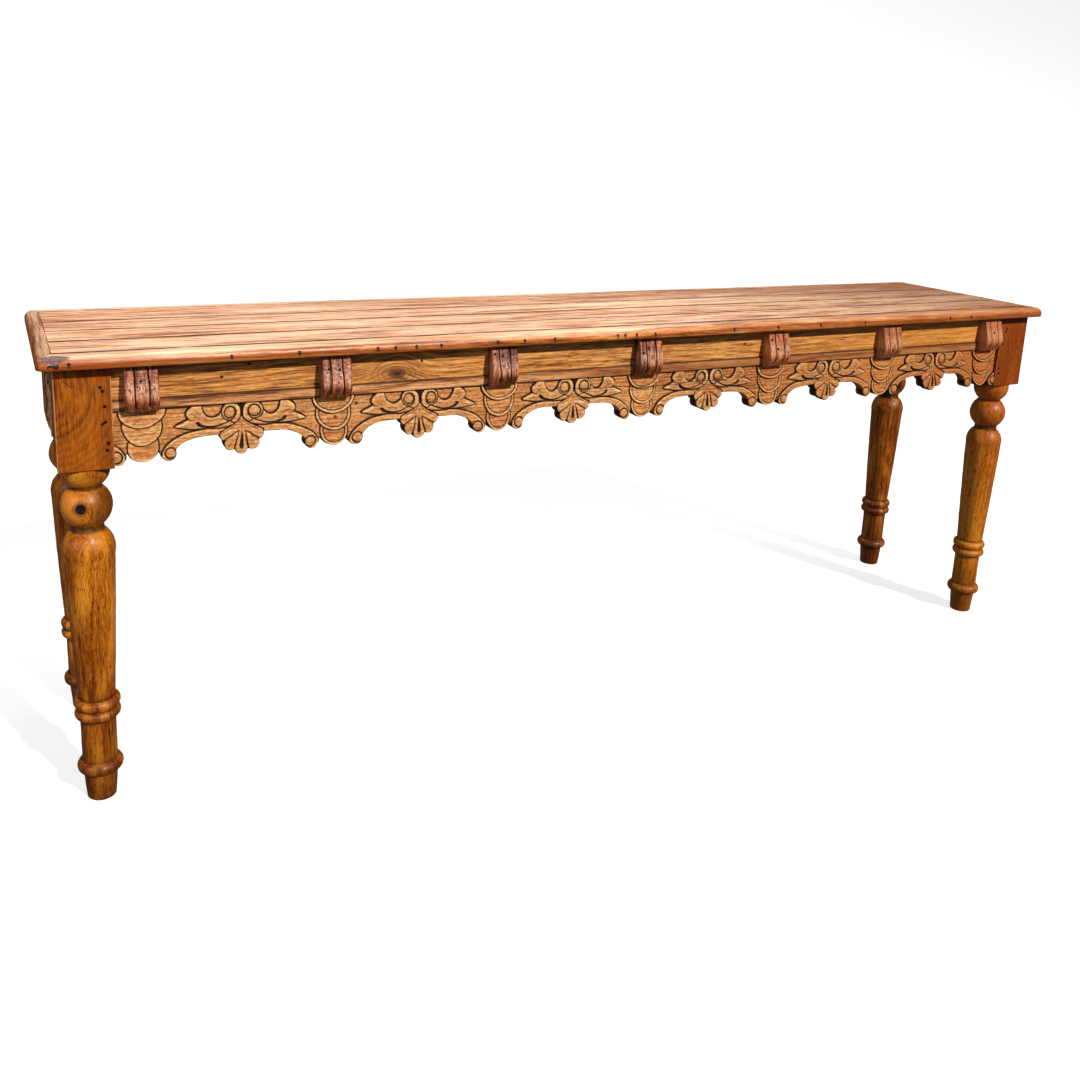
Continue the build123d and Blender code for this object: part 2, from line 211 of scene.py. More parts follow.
# ---------------------------------------------------------------- carved relief of half a bay
class Relief:
    """A height field over (a, z): a runs from the middle of a bay out to the middle of a drop."""

    step = 0.5
    first_a, first_z, last_z = -3.0, 574.0, 672.0

    def __init__(self):
        a_axis = np.arange(self.first_a, drop_x + 3.0, self.step)
        z_axis = np.arange(self.first_z, self.last_z, self.step)
        self.a, self.z = np.meshgrid(a_axis, z_axis, indexing="ij")
        self.h = np.full(self.a.shape, 0.2)
        self.line = np.zeros(self.a.shape)

    def scratch(self, d, depth, width):
        """A V-cut along the zero line of d."""
        cut = np.exp(-((d / width) ** 2))
        self.h -= depth * cut
        self.line = np.maximum(self.line, cut * min(1.0, depth / 1.2))

    def lay(self, d, top, soft=2.2, fall=1.8, crown=0.0, crown_reach=8.0, line=1.5, width=0.95):
        """Puts a rounded form on top of what is there, with a V-cut round it."""
        inward = np.clip(-d / soft, 0, 1)
        edge = fall * (1 - np.sqrt(1 - (1 - inward) ** 2))
        dome = crown * np.sqrt(np.clip(-d / crown_reach, 0, 1))
        self.h = np.where(d < 0, top - edge + dome, self.h)
        self.line = np.where(d < 0, 0.0, self.line)
        self.scratch(d, line, width)

    def oval(self, *oval):
        return oval_distance(self.a, self.z, *oval)

    def shape(self, points):
        return shape_distance(self.a, self.z, points)

    def sweep(self, points, depth, widths, dark, steps=5):
        """A gouge along the smooth curve through the points."""
        self.gouge(curve_through(points, False, steps), depth, widths, dark)

    def gouge(self, points, depth, widths, dark=1.0):
        """A cut along a path whose half width changes along it."""
        d, t = path_distance(self.a, self.z, points)
        half = np.interp(t, np.linspace(0, 1, len(widths)), widths)
        cut = np.clip(1 - (d / half) ** 2, 0, 1)
        self.h -= depth * cut
        self.line = np.maximum(self.line, dark * np.exp(-((d / half) ** 4)))


def web_distance(a, z):
    """The lower outline of the valance with its curls, drops and fan."""
    edge = [(-8, 612), (24, 617), (34, 618), (50, 617.5), (70, 616.5), (82, 613.5), (92, 609), (99, 603)]
    edge = [tuple(p) for p in curve_through(edge, closed=False, steps=4)]
    web = edge + [(104, 596), (130, 597), (162, 600), (162, 690), (-8, 690)]
    parts = [shape_distance(a, z, web)]
    parts.append(oval_distance(a, z, 115.0, 594.0, 13.2, 13.2))
    parts.append(oval_distance(a, z, drop_x, 605.0, 24.5, 23.0))
    for ca, cz, r in fan_lobes:
        parts.append(oval_distance(a, z, ca, cz, r, r))
    parts.append(shape_distance(a, z, [(-24, 622), (-14, 598), (14, 598), (24, 622), (0, 640)]))
    return np.minimum.reduce(parts)


fan_lobes = (
    (24.0, 615.5, 10.8), (16.0, 600.5, 12.0), (0.0, 592.5, 11.2), (-16.0, 600.5, 12.0), (-24.0, 615.5, 10.8),
)
fan_root = (0.0, 628.0)


def carve_edge_band(r):
    """The raised moulding that follows the lower edge and rolls up into a button."""
    upper = [
        (18, 628.5), (40, 629), (60, 628.8), (80, 626.3), (95, 621.5), (108, 614.5), (118, 606), (125, 596),
    ]
    upper = curve_through(upper, closed=False, steps=5)
    below = [(126, 588), (118, 576), (96, 570), (18, 570)]
    r.lay(r.shape(np.vstack([upper, below])), 4.3, soft=3.5, fall=1.5, line=1.0, width=0.9)
    hollow = [(60, 624.5), (80, 622), (94, 617), (107, 609.5), (116, 602), (121, 594)]
    r.sweep(hollow, 0.4, (0.3, 0.9, 0.9, 0.5), dark=0.1)
    roll = np.hypot(r.a - 111.5, r.z - 593.5)
    r.lay(roll - 9.3, 3.6, soft=3.0, fall=2.0, crown=2.2, crown_reach=9.0, line=2.0, width=0.9)
    r.sweep([(118.5, 597.5), (114, 601), (107.5, 599.5), (105.8, 594)], 0.5, (0.5, 0.7, 0.5), dark=0.2)


def carve_drop(r, rims):
    """Three hanging scales, each lying over the next one below it."""
    tiers = (
        (608.0, 24.0, 26.0, 609.0, 582.0),
        (641.0, 30.5, 32.0, 638.5, 609.0),
        (666.0, 36.0, 27.5, 668.0, 638.5),
    )
    for middle, half, reach, start, bottom in tiers:
        d = r.oval(drop_x, middle, half, reach)
        slope = np.clip((start - r.z) / (start - bottom), 0, 1)
        top = 1.6 + 3.6 * slope if start < 668.0 else 3.4 + 2.1 * slope
        d = np.where(r.z > middle, np.maximum(d, np.abs(r.a - drop_x) - half), d)
        r.lay(d, top, soft=1.6, fall=0.9, line=1.5, width=0.85)
        if rims:
            inside = d + 5.4
            r.h = np.where(inside < 0, r.h - 0.7, r.h)
            on_scale = smooth_step(0.0, 1.0, -d)
            cut = np.exp(-((inside / 0.75) ** 2)) * on_scale
            r.h -= 1.1 * cut
            r.line = np.maximum(r.line, 0.8 * cut)


def carve_leaf(r):
    """The acanthus leaf that runs out from the neck, with its two lobes and long gouge."""
    leaf = [
        (9, 634.5), (20, 630.3), (34, 628.6), (55, 629.3), (76, 629.2), (92, 632), (105.5, 635.3),
        (99, 640.5), (91, 644.2), (85.2, 647.6), (87.6, 652.5), (86.8, 659), (80, 665.6), (70, 670),
        (40, 672), (22, 660), (8, 646),
    ]
    r.lay(r.shape(curve_through(leaf, steps=5)), 3.9, soft=5.5, fall=2.3, crown=1.6, line=1.6)
    r.gouge([(85.5, 648), (80.5, 645.6), (76, 644.6)], 1.6, (1.1, 0.7, 0.3), dark=0.9)
    r.sweep([(98, 636.5), (88, 637), (78, 639)], 0.7, (0.3, 0.9, 0.4), dark=0.25)
    r.sweep([(80, 656), (73, 651), (66, 645)], 0.7, (0.4, 1.2, 0.5), dark=0.2)
    hollow = r.oval(46.5, 669.0, 16.0, 22.0)
    r.h = np.where(hollow < 0, 0.4 + 0.9 * smooth_step(-9, 0, hollow), r.h)
    r.line = np.where(hollow < 0, 0.0, r.line)
    r.scratch(hollow, 0.9, 0.9)


def carve_volute(r):
    """The scroll above the neck: a domed eye in a band that rises out of the leaf."""
    band = [
        (3.5, 640), (1.8, 648), (1.9, 657), (5.5, 664.5), (12.5, 669), (22, 669.3), (30, 664), (33.4, 656),
        (31.5, 647.5), (26, 642.2), (19, 640.2), (12, 636),
    ]
    r.lay(r.shape(curve_through(band, steps=5)), 5.2, soft=2.4, fall=1.4, line=1.5, width=0.8)
    eye = np.hypot(r.a - 20.2, r.z - 653.6)
    r.lay(eye - 9.4, 3.4, soft=2.6, fall=1.6, crown=2.5, crown_reach=9.0, line=1.0, width=0.7)
    scroll = [
        (69.5, 639.6), (65, 635.3), (55, 632), (44, 631.6), (34, 634.2), (24, 638.2), (16.5, 641.5),
        (11.2, 647), (10.0, 654.5), (13.5, 661.5), (20.5, 664.2), (27.5, 661.2),
    ]
    r.sweep(scroll, 3.2, (2.9, 2.5, 1.9, 1.4, 1.0, 0.9, 0.8, 0.8, 0.8, 0.7), dark=1.0, steps=6)
    r.gouge([(0, 671), (0, 656), (0, 648)], 3.0, (3.2, 2.0, 0.6), dark=1.0)


def carve_fan(r):
    """The hanging fan: a smooth ribbed neck and five domed lobes."""
    fan = np.minimum.reduce([r.oval(*lobe, lobe[2]) for lobe in fan_lobes])
    side = [(5, 640), (13, 633), (24, 627), (34, 622.5), (33, 612)]
    neck = [(0, 647), *side, (0, 590), *((-a, z) for a, z in reversed(side))]
    body = np.minimum(fan, r.shape(neck))
    r.lay(body, 3.6, soft=4.0, fall=2.2, line=1.3, width=0.8)
    out = np.hypot(r.a - fan_root[0], r.z - fan_root[1])
    turn = np.degrees(np.arctan2(np.abs(r.a), fan_root[1] - r.z))
    for middle, spread in ((0.0, 17.0), (33.0, 14.0), (64.0, 15.0)):
        across = np.clip((turn - middle) / spread, -1, 1)
        swell = np.sqrt(1 - across**2) * smooth_step(8, 22, out)
        r.h = np.where(body < 0, r.h + 2.0 * swell, r.h)
    for tip in ((12.5, 587.0), (30.0, 606.0)):
        r.gouge([(5.0, 621.0), tip], 1.9, (0.5, 0.9, 1.3), dark=0.85)
    for tip in ((6.5, 584.0), (22.0, 594.0), (33.5, 616.0)):
        r.gouge([(tip[0] * 0.55, 621 + (tip[1] - 621) * 0.55), tip], 0.5, (0.4, 0.8), dark=0.15)
    r.gouge([(0, 617), (0, 606), (0, 595)], 3.6, (0.8, 2.6, 3.4), dark=1.0)
    r.gouge([(0, 645), (0, 630), (0, 618)], 0.5, (0.4, 0.6, 0.5), dark=0.35)
    r.sweep([(2.0, 640), (8, 632.5), (19, 625.5), (31, 619.5)], 0.8, (0.5, 0.9, 0.8), dark=0.35)


def half_bay(rims):
    """Maps over half a bay: height; dirt in the cuts with painted shade in the hollows; edge distance; and a
    painted highlight, partly worn pale, on the high spots.
    """
    r = Relief()
    carve_edge_band(r)
    carve_leaf(r)
    carve_volute(r)
    carve_fan(r)
    carve_drop(r, rims)
    edge = web_distance(r.a, r.z)
    r.h -= 1.6 * (1 - np.sqrt(1 - (1 - np.clip(-edge / 2.0, 0, 1)) ** 2))
    r.h = np.clip(blur(r.h, 1), -1.5, carving_top)
    local, wide = blur(r.h, 5), blur(r.h, 16)
    # Painted shade: points lying below their blurred surroundings are darkened, over a few millimetres and
    # over a broader reach, as shade falls in hollows; this adds to the dark cut lines.
    cavity_shade = np.clip((local - r.h) / 1.3, 0, 1)
    deep = np.clip((wide - r.h) / 3.5, 0, 1)
    grime_and_shade = np.clip(0.9 * r.line + 0.75 * cavity_shade + 0.65 * deep, 0, 1)
    # A painted highlight, partly worn pale: parts standing above their broad surroundings are lightened,
    # except in the painted shade.
    rise = np.clip((r.h - wide) / 2.2, 0, 1) * (1 - grime_and_shade)
    return np.stack([r.h, grime_and_shade, edge, rise])


def sample(maps, a, z):
    """Bilinear reading of the half-bay maps."""
    u = np.clip((a - Relief.first_a) / Relief.step, 0, maps.shape[1] - 1.001)
    v = np.clip((z - Relief.first_z) / Relief.step, 0, maps.shape[2] - 1.001)
    i, j = u.astype(int), v.astype(int)
    f, g = u - i, v - j
    low = maps[:, i, j] * (1 - f) + maps[:, i + 1, j] * f
    high = maps[:, i, j + 1] * (1 - f) + maps[:, i + 1, j + 1] * f
    return low * (1 - g) + high * g


# ---------------------------------------------------------------- meshes
def add_object(name, data):
    item = bpy.data.objects.new(name, data)
    bpy.context.scene.collection.objects.link(item)
    return item


def finish_piece(name, mesh, materials, stands_for, sharp=38):
    """Puts a mesh in the scene in place of a CAD node; edges sharper than sharp degrees stay crisp."""
    for material in materials:
        mesh.materials.append(material)
    mesh.shade_smooth()
    mesh.set_sharp_from_angle(angle=math.radians(sharp))
    piece = add_object(name, mesh)
    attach(piece, "root")
    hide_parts(stands_for)


def grid_faces(rows, columns, first=0, wrap_rows=False, wrap_columns=False):
    """Four-sided faces over points numbered row by row, closed into a ring where wrapped."""
    faces = []
    for k in range(rows if wrap_rows else rows - 1):
        a, b = first + k * columns, first + (k + 1) % rows * columns
        for j in range(columns if wrap_columns else columns - 1):
            n = (j + 1) % columns
            faces.append([a + j, a + n, b + n, b + j])
    return faces


def point_attribute(mesh, name, values):
    layer = mesh.attributes.new(name, "FLOAT", "POINT")
    layer.data.foreach_set("value", np.asarray(values, np.float32))


def cut_cells(inside, edge, first):
    """Faces of a grid cut along the zero line of edge. Returns new points in grid units, and faces."""
    points, found, faces = [], {}, []

    def crossing(p, q):
        key = (min(p, q), max(p, q))
        if key not in found:
            t = edge[p] / (edge[p] - edge[q])
            t = min(max(t, 0.02), 0.98)
            found[key] = first + len(points)
            points.append((p[0] + t * (q[0] - p[0]), p[1] + t * (q[1] - p[1])))
        return found[key]

    index = -np.ones(inside.shape, int)
    index[inside] = np.arange(inside.sum())
    count = inside[:-1, :-1].astype(int) + inside[1:, :-1] + inside[1:, 1:] + inside[:-1, 1:]
    for i, j in zip(*np.nonzero((count > 0) & (count < 4))):
        corners = [(i, j), (i + 1, j), (i + 1, j + 1), (i, j + 1)]
        face = []
        for p, q in zip(corners, corners[1:] + corners[:1]):
            if inside[p]:
                face.append(int(index[p]))
            if inside[p] != inside[q]:
                face.append(crossing(p, q))
        faces.append(face)
    i, j = np.nonzero(count == 4)
    whole = np.stack([index[i, j], index[i + 1, j], index[i + 1, j + 1], index[i, j + 1]], 1)
    return np.array(points).reshape(-1, 2), faces, whole


def rim_loops(faces, whole, size):
    """The boundary loops of a sheet of faces, in face order."""
    pairs = [np.stack([whole[:, k], whole[:, (k + 1) % 4]], 1) for k in range(4)]
    pairs.append(np.array([(f[k], f[(k + 1) % len(f)]) for f in faces for k in range(len(f))]))
    pairs = np.vstack(pairs).astype(np.int64)
    keys = pairs[:, 0] * size + pairs[:, 1]
    back = pairs[:, 1] * size + pairs[:, 0]
    rim = pairs[~np.isin(back, keys)]
    follow = {int(p): int(q) for p, q in rim}
    loops = []
    while follow:
        start = next(iter(follow))
        loop = [start]
        step = follow.pop(start)
        while step != start:
            loop.append(step)
            step = follow.pop(step)
        loops.append(loop)
    return loops


def relief_mesh(u_axis, z_axis, read, back_y):
    """A carved plank facing -Y, at y = -height. read(u, z) gives height, dirt with painted shade, edge
    distance, and the painted highlight of the high spots.
    """
    u, z = np.meshgrid(u_axis, z_axis, indexing="ij")
    edge = read(u, z)[2]
    inside = edge < 0
    extra, cut, whole = cut_cells(inside, edge, int(inside.sum()))
    eu = np.interp(extra[:, 0], np.arange(len(u_axis)), u_axis)
    ez = np.interp(extra[:, 1], np.arange(len(z_axis)), z_axis)
    u, z = np.concatenate([u[inside], eu]), np.concatenate([z[inside], ez])
    height, grime_and_shade, _, rise = read(u, z)
    front = np.stack([u, -height, z], 1)
    loops = rim_loops(cut, whole, len(front))
    rim = np.array([v for loop in loops for v in loop])
    behind = front[rim].copy()
    behind[:, 1] = back_y
    place = {int(v): len(front) + k for k, v in enumerate(rim)}
    faces = [f[::-1] for f in cut] + whole[:, ::-1].tolist()
    flat = []
    for loop in loops:
        for v, w in zip(loop, loop[1:] + loop[:1]):
            faces.append([v, w, place[w], place[v]])
        flat.append([Vector((front[v, 0], front[v, 2], 0)) for v in loop])
    order = [place[v] for loop in loops for v in loop]
    for a, b, c in tessellate_polygon(flat):
        faces.append([order[a], order[b], order[c]])
    verts = np.vstack([front, behind])
    # The walls and the back take a fixed share of the painted shade.
    grime_and_shade = np.concatenate([grime_and_shade, 0.3 * np.ones(len(behind))])
    rise = np.concatenate([rise, np.zeros(len(behind))])
    return verts, faces, grime_and_shade, rise


def build_mesh(name, verts, faces, **attributes):
    """A mesh from points in millimetres, with a value for each point in each attribute."""
    mesh = bpy.data.meshes.new(name)
    mesh.from_pydata((np.asarray(verts) * MM).tolist(), [], faces)
    work = bmesh.new()
    work.from_mesh(mesh)
    bmesh.ops.recalc_face_normals(work, faces=work.faces)
    work.to_mesh(mesh)
    work.free()
    for layer, values in attributes.items():
        point_attribute(mesh, layer, values)
    return mesh


# ---------------------------------------------------------------- procedural wood
def linear(colour):
    """An sRGB colour of 0 to 255 as a linear RGBA value."""
    out = []
    for c in colour:
        c /= 255
        out.append(c / 12.92 if c <= 0.04045 else ((c + 0.055) / 1.055) ** 2.4)
    return (*out, 1.0)


class Graph:
    """A small builder for a material's nodes."""

    def __init__(self, name):
        self.material = bpy.data.materials.new(name)
        self.material.use_nodes = True
        self.tree = self.material.node_tree
        self.tree.nodes.clear()
        out = self.node("OutputMaterial")
        self.shader = self.node("BsdfPrincipled")
        self.tree.links.new(self.shader.outputs[0], out.inputs[0])

    def node(self, kind):
        return self.tree.nodes.new("ShaderNode" + kind)

    def put(self, socket, value):
        if isinstance(value, bpy.types.NodeSocket):
            self.tree.links.new(value, socket)
        else:
            socket.default_value = value

    def coordinates(self):
        return self.node("TexCoord").outputs["Object"]

    def vector(self, operation, a, b=None):
        node = self.node("VectorMath")
        node.operation = operation
        self.put(node.inputs[0], a)
        if b is not None:
            self.put(node.inputs[1], b)
        return node.outputs["Value" if operation == "LENGTH" else "Vector"]

    def value(self, operation, a, b=None, c=None, clamp=False):
        node = self.node("Math")
        node.operation = operation
        node.use_clamp = clamp
        for k, item in enumerate((a, b, c)):
            if item is not None:
                self.put(node.inputs[k], item)
        return node.outputs[0]

    def times(self, a, b):
        return self.value("MULTIPLY", a, b)

    def minus(self, a, b):
        return self.value("SUBTRACT", a, b)

    def scaled(self, a, factor, start, clamp=False):
        return self.value("MULTIPLY_ADD", a, factor, start, clamp=clamp)

    def either(self, a, b):
        return self.value("MAXIMUM", a, b)

    def split(self, vector):
        node = self.node("SeparateXYZ")
        self.put(node.inputs[0], vector)
        return node.outputs

    def noise(self, vector, scale=1.0, detail=2.0, rough=0.5):
        node = self.node("TexNoise")
        self.put(node.inputs["Vector"], vector)
        node.inputs["Scale"].default_value = scale
        node.inputs["Detail"].default_value = detail
        node.inputs["Roughness"].default_value = rough
        return node.outputs["Fac"]

    def ramp(self, value, stops):
        node = self.node("ValToRGB")
        self.put(node.inputs[0], value)
        band = node.color_ramp.elements
        while len(band) < len(stops):
            band.new(0.5)
        for item, (place, colour) in zip(band, stops):
            item.position = place
            item.color = colour
        return node.outputs["Color"]

    def grey(self, value, *stops):
        """Each stop is a place on the ramp and the grey value there."""
        return self.ramp(value, [(place, (level, level, level, 1)) for place, level in stops])

    def above(self, value, low, high):
        """0 up to low, 1 from high on."""
        return self.grey(value, (low, 0), (high, 1))

    def below(self, value, low, high):
        """1 up to low, 0 from high on."""
        return self.grey(value, (low, 1), (high, 0))

    def mix(self, amount, a, b):
        node = self.node("Mix")
        node.data_type = "RGBA"
        for k, item in ((0, amount), (6, a), (7, b)):
            self.put(node.inputs[k], item)
        return node.outputs[2]

    def attribute(self, name):
        node = self.node("Attribute")
        node.attribute_name = name
        return node.outputs["Fac"]

    def relief(self, height, strength, reach):
        node = self.node("Bump")
        node.inputs["Strength"].default_value = strength
        node.inputs["Distance"].default_value = reach
        self.put(node.inputs["Height"], height)
        self.put(self.shader.inputs["Normal"], node.outputs[0])


class Wood(Graph):
    """Grain along one axis: growth rings round a pith, streaks, fibres, pores and blotches."""

    def __init__(self, name, along, tones, seed, pith=(0, 0.1, 0.62), stretch=0.03, ring=0.011,
                 weights=(0.3, 0.4, 0.12, 0.25), pores=0.5, pore_colour=(60, 28, 10), contrast=1.6, lean=0.5,
                 bulge=None, dashes=0.4, grain=(17, 430), rough=(0.52, 0.38)):
        super().__init__(name)
        self.along = along
        here = self.here = self.coordinates()
        self.x, self.y, self.z = self.split(here)
        if bulge:
            here = self.flow_over(*bulge)
        self.p = self.vector("ADD", here, tuple(np.random.default_rng(seed).uniform(3, 40, 3)))
        scale = [1.0, 1.0, 1.0]
        scale[along] = stretch
        r = self.vector("MULTIPLY", self.vector("SUBTRACT", here, pith), tuple(scale))
        r = self.scaled(self.drawn(1.6, 9, 3), 0.05, self.vector("LENGTH", r))
        r = self.scaled(self.drawn(9, 60), 0.006, r)
        phase = self.value("FRACT", self.value("DIVIDE", r, ring))
        rings = self.grey(phase, (0, 0.45), (0.2, 1.0), (0.6, 0.65), (0.85, 0.0), (1, 0.45))
        self.streak = self.drawn(*grain, 6, 0.72)
        self.blotch = self.drawn(2.2, 11, 3)
        fibre = self.drawn(22, 1300)
        tone = self.times(rings, weights[0])
        for layer, weight in zip((self.streak, fibre, self.blotch), weights[1:]):
            tone = self.scaled(layer, weight, tone)
        middle = weights[0] * 0.62 + sum(weights[1:]) * 0.5
        self.tone = self.scaled(self.minus(tone, middle), contrast, lean, clamp=True)
        places = np.linspace(0.12, 0.88, len(tones))
        self.colour = self.ramp(self.tone, [(float(p), linear(t)) for p, t in zip(places, tones)])
        pore = self.above(self.drawn(48, 1500, 1), 0.6, 0.7)
        self.stain(pore, pore_colour, pores)
        self.stain(self.above(self.drawn(40, 520, 3, 0.6), 0.55, 0.63), pore_colour, dashes)
        self.height = self.scaled(self.streak, 0.35, self.times(fibre, 0.45))
        self.sink(pore, 0.5)
        self.rough = self.grey(self.streak, (0.3, rough[0]), (0.7, rough[1]))

    def flow_over(self, middle, reach, rise):
        """Lifts the grain in an arch over a knot at that place along the grain."""
        x = self.value("DIVIDE", self.minus(self.x, middle), reach)
        bell = self.value("POWER", math.e, self.times(self.times(x, x), -1.0))
        node = self.node("CombineXYZ")
        self.put(node.inputs[2], self.times(bell, -rise))
        return self.vector("ADD", self.here, node.outputs[0])

    def hole(self, place, radius=0.0024, across=1.0):
        """A small dark hole, place in metres; a small across lets it run on into the depth."""
        away = self.vector("MULTIPLY", self.vector("SUBTRACT", self.here, place), (1.0, across, 1.0))
        mask = self.below(self.value("DIVIDE", self.vector("LENGTH", away), radius * 2), 0.42, 0.62)
        self.stain(mask, (16, 8, 6), 0.97)
        self.sink(mask, 2.0)

    def drawn(self, slow, fast, detail=2, rough=0.5):
        """Noise drawn out along the grain: its frequency along the grain and across it."""
        scale = [float(fast)] * 3
        scale[self.along] = float(slow)
        return self.noise(self.vector("MULTIPLY", self.p, tuple(scale)), detail=detail, rough=rough)

    def lumps(self, frequency, detail=2, rough=0.5):
        """Noise with a frequency for each axis."""
        return self.noise(self.vector("MULTIPLY", self.p, frequency), detail=detail, rough=rough)

    def rightward(self, slope, start):
        """A straight ramp along x, held between 0 and 1."""
        return self.scaled(self.x, slope, start, clamp=True)

    def band(self, axis, middle, half, soft):
        """1 within half of a plane along an axis, fading over soft (metres)."""
        away = self.value("ABSOLUTE", self.minus((self.x, self.y, self.z)[axis], middle))
        node = self.node("MapRange")
        self.put(node.inputs["Value"], away)
        for k, level in enumerate((half, half + soft, 1.0, 0.0)):
            node.inputs[k + 1].default_value = level
        return node.outputs[0]

    def blob(self, centre, reach, softness=0.5):
        """1 round a point (metres), with a broken edge."""
        offset = self.vector("SUBTRACT", self.here, centre)
        away = self.vector("LENGTH", self.vector("MULTIPLY", offset, tuple(1 / r for r in reach)))
        ragged = self.lumps((170.0, 170.0, 170.0), 4)
        return self.below(self.scaled(self.minus(ragged, 0.5), softness * 2, away), 0.7, 0.95)

    def stain(self, mask, colour, amount=1.0):
        self.colour = self.mix(self.times(mask, amount), self.colour, linear(colour))

    def swell(self, mask, rise):
        self.height = self.scaled(mask, rise, self.height)

    def sink(self, mask, depth):
        self.swell(mask, -depth)

    def hollow_dirt_and_shade(self, low):
        """Wax and dirt in the hollows, with painted shade there, thinner in patches."""
        broken = self.lumps((90.0, 90.0, 90.0), 3)
        return self.times(self.attribute("wax"), self.grey(broken, (0.3, low), (0.6, 1.0)))

    def done(self, bump=0.35, coat=0.0, specular=0.35):
        self.relief(self.height, bump, 0.0007)
        self.put(self.shader.inputs["Base Color"], self.colour)
        self.put(self.shader.inputs["Roughness"], self.rough)
        self.shader.inputs["Specular IOR Level"].default_value = specular
        if coat:
            self.shader.inputs["Coat Weight"].default_value = coat
            self.shader.inputs["Coat Roughness"].default_value = 0.35
        return self.material


# ---------------------------------------------------------------- wood finishes
top_tones = ((112, 64, 44), (184, 120, 86), (234, 168, 126), (252, 198, 156), (255, 224, 190))
joint_y = [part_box("top_board_1")[0].y] + [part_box(f"top_board_{i}")[1].y for i in (1, 2, 3, 4)]
strip_base_z = 0.74  # the strips' colours are graded by the height above this


def board_wood(i):
    """Bleached, worn board: pale pinkish tan with greyer streaks, dirt along the joints."""
    g = Wood(f"board_wood_{i + 1}", 0, top_tones, 20 + i, pith=(0.3 * i - 0.4, joint_y[i] + 0.04, 0.69),
             stretch=0.02, ring=0.008, weights=(0.16, 0.75, 0.2, 0.35), pores=0.6, pore_colour=(92, 50, 34),
             contrast=2.7, lean=0.62 - 0.07 * (i == 3), dashes=0.5, grain=(13, 300), rough=(0.6, 0.48))
    weather = g.times(g.above(g.drawn(1.3, 16, 4), 0.42, 0.62), g.rightward(0.35, 0.4))
    g.stain(weather, (132, 106, 92), (0.15, 0.3, 0.35, 0.55)[i])
    g.stain(g.above(g.drawn(2.6, 90, 5, 0.6), 0.55, 0.63), (124, 74, 54), 0.42)
    g.stain(g.above(g.drawn(5.0, 130), 0.64, 0.69), (58, 26, 18), 0.65)
    wide = 0.0045 if i == 0 else 0.0030
    near = g.either(g.band(1, joint_y[i], wide, 0.002), g.band(1, joint_y[i + 1], 0.0024, 0.002))
    gaps = g.grey(g.drawn(11, 30, 3), (0.34, 0.3), (0.42, 1))
    g.stain(g.rightward(1.2, -0.2), (124, 66, 30), 0.56 + 0.07 * i)
    g.stain(g.times(near, gaps), (34, 12, 10), 0.97)
    g.stain(g.below(g.z, (under_z + 1.5) * MM, (under_z + 2.5) * MM), (128, 84, 52), 0.8)
    return g.done(bump=0.45)


strip_tones = ((84, 36, 10), (156, 80, 26), (200, 112, 44), (226, 142, 70), (246, 180, 112))
flat_tones = ((190, 126, 88), (255, 206, 160), (255, 232, 200))


def strip_wood(name, along, seed, grey=0.0):
    """Edge strips: bleached on the flat, orange and polished round the nosing, with a scarred corner."""
    g = Wood(name, along, strip_tones, seed, pith=(-0.3, -0.25, 0.69), stretch=0.02, ring=0.012,
             weights=(0.12, 0.65, 0.2, 0.4), pores=0.6, contrast=2.8, lean=0.48, dashes=0.5,
             rough=(0.42, 0.3))
    above_base = g.minus(g.z, strip_base_z)
    rise = g.scaled(g.minus(g.blotch, 0.5), 0.9, g.times(above_base, 40.0))
    flat = g.times(g.above(rise, 0.62, 0.93), g.grey(g.streak, (0.3, 0.5), (0.6, 1.0)))
    pale = g.ramp(g.tone, [(place, linear(tone)) for place, tone in zip((0.1, 0.4, 0.9), flat_tones)])
    right_end = g.rightward(1.2, -0.15)
    g.stain(g.times(right_end, g.grey(g.streak, (0.3, 1), (0.7, 0.7))), (140, 62, 12), 0.85)
    if along == 0:
        g.stain(g.rightward(-1.6, -0.5), (150, 66, 10), 0.72)
        seam = g.either(g.band(1, joint_y[0], 0.0026, 0.0014), g.band(1, joint_y[4], 0.0008, 0.0014))
    else:
        seam = g.either(*(g.band(0, side * inner_half_x * MM, 0.0008, 0.0012) for side in (1, -1)))
    pale = g.mix(g.times(right_end, 0.85), pale, linear((186, 108, 54)))
    pale = g.mix(g.times(g.blotch, grey), pale, linear((190, 164, 144)))
    g.colour = g.mix(flat, g.colour, pale)
    scar = g.blob((-1.037, -0.2165, 0.7600), (0.026, 0.013, 0.008), 0.5)
    g.stain(scar, (74, 52, 66), 0.85)
    g.stain(g.blob((-1.036, -0.2225, 0.7500), (0.010, 0.006, 0.005), 0.6), (14, 8, 8), 0.97)
    g.stain(g.below(g.times(above_base, 100.0), 0.24, 0.42), (84, 34, 10), 0.6)
    g.stain(g.times(seam, g.grey(g.drawn(16, 30), (0.40, 0.1), (0.52, 1))), (34, 16, 12), 0.95)
    g.sink(scar, 2.0)
    g.stain(g.attribute("spot"), (20, 8, 6), 0.95)
    return g.done(bump=0.4, coat=0.15)


frieze_tones = ((92, 48, 16), (160, 96, 38), (206, 132, 62), (232, 160, 84), (248, 186, 112))
frieze_holes = ((-0.792, 0.712), (-0.748, 0.731), (-0.454, 0.719), (0.233, 0.714), (0.776, 0.689))
knot_x = -0.500


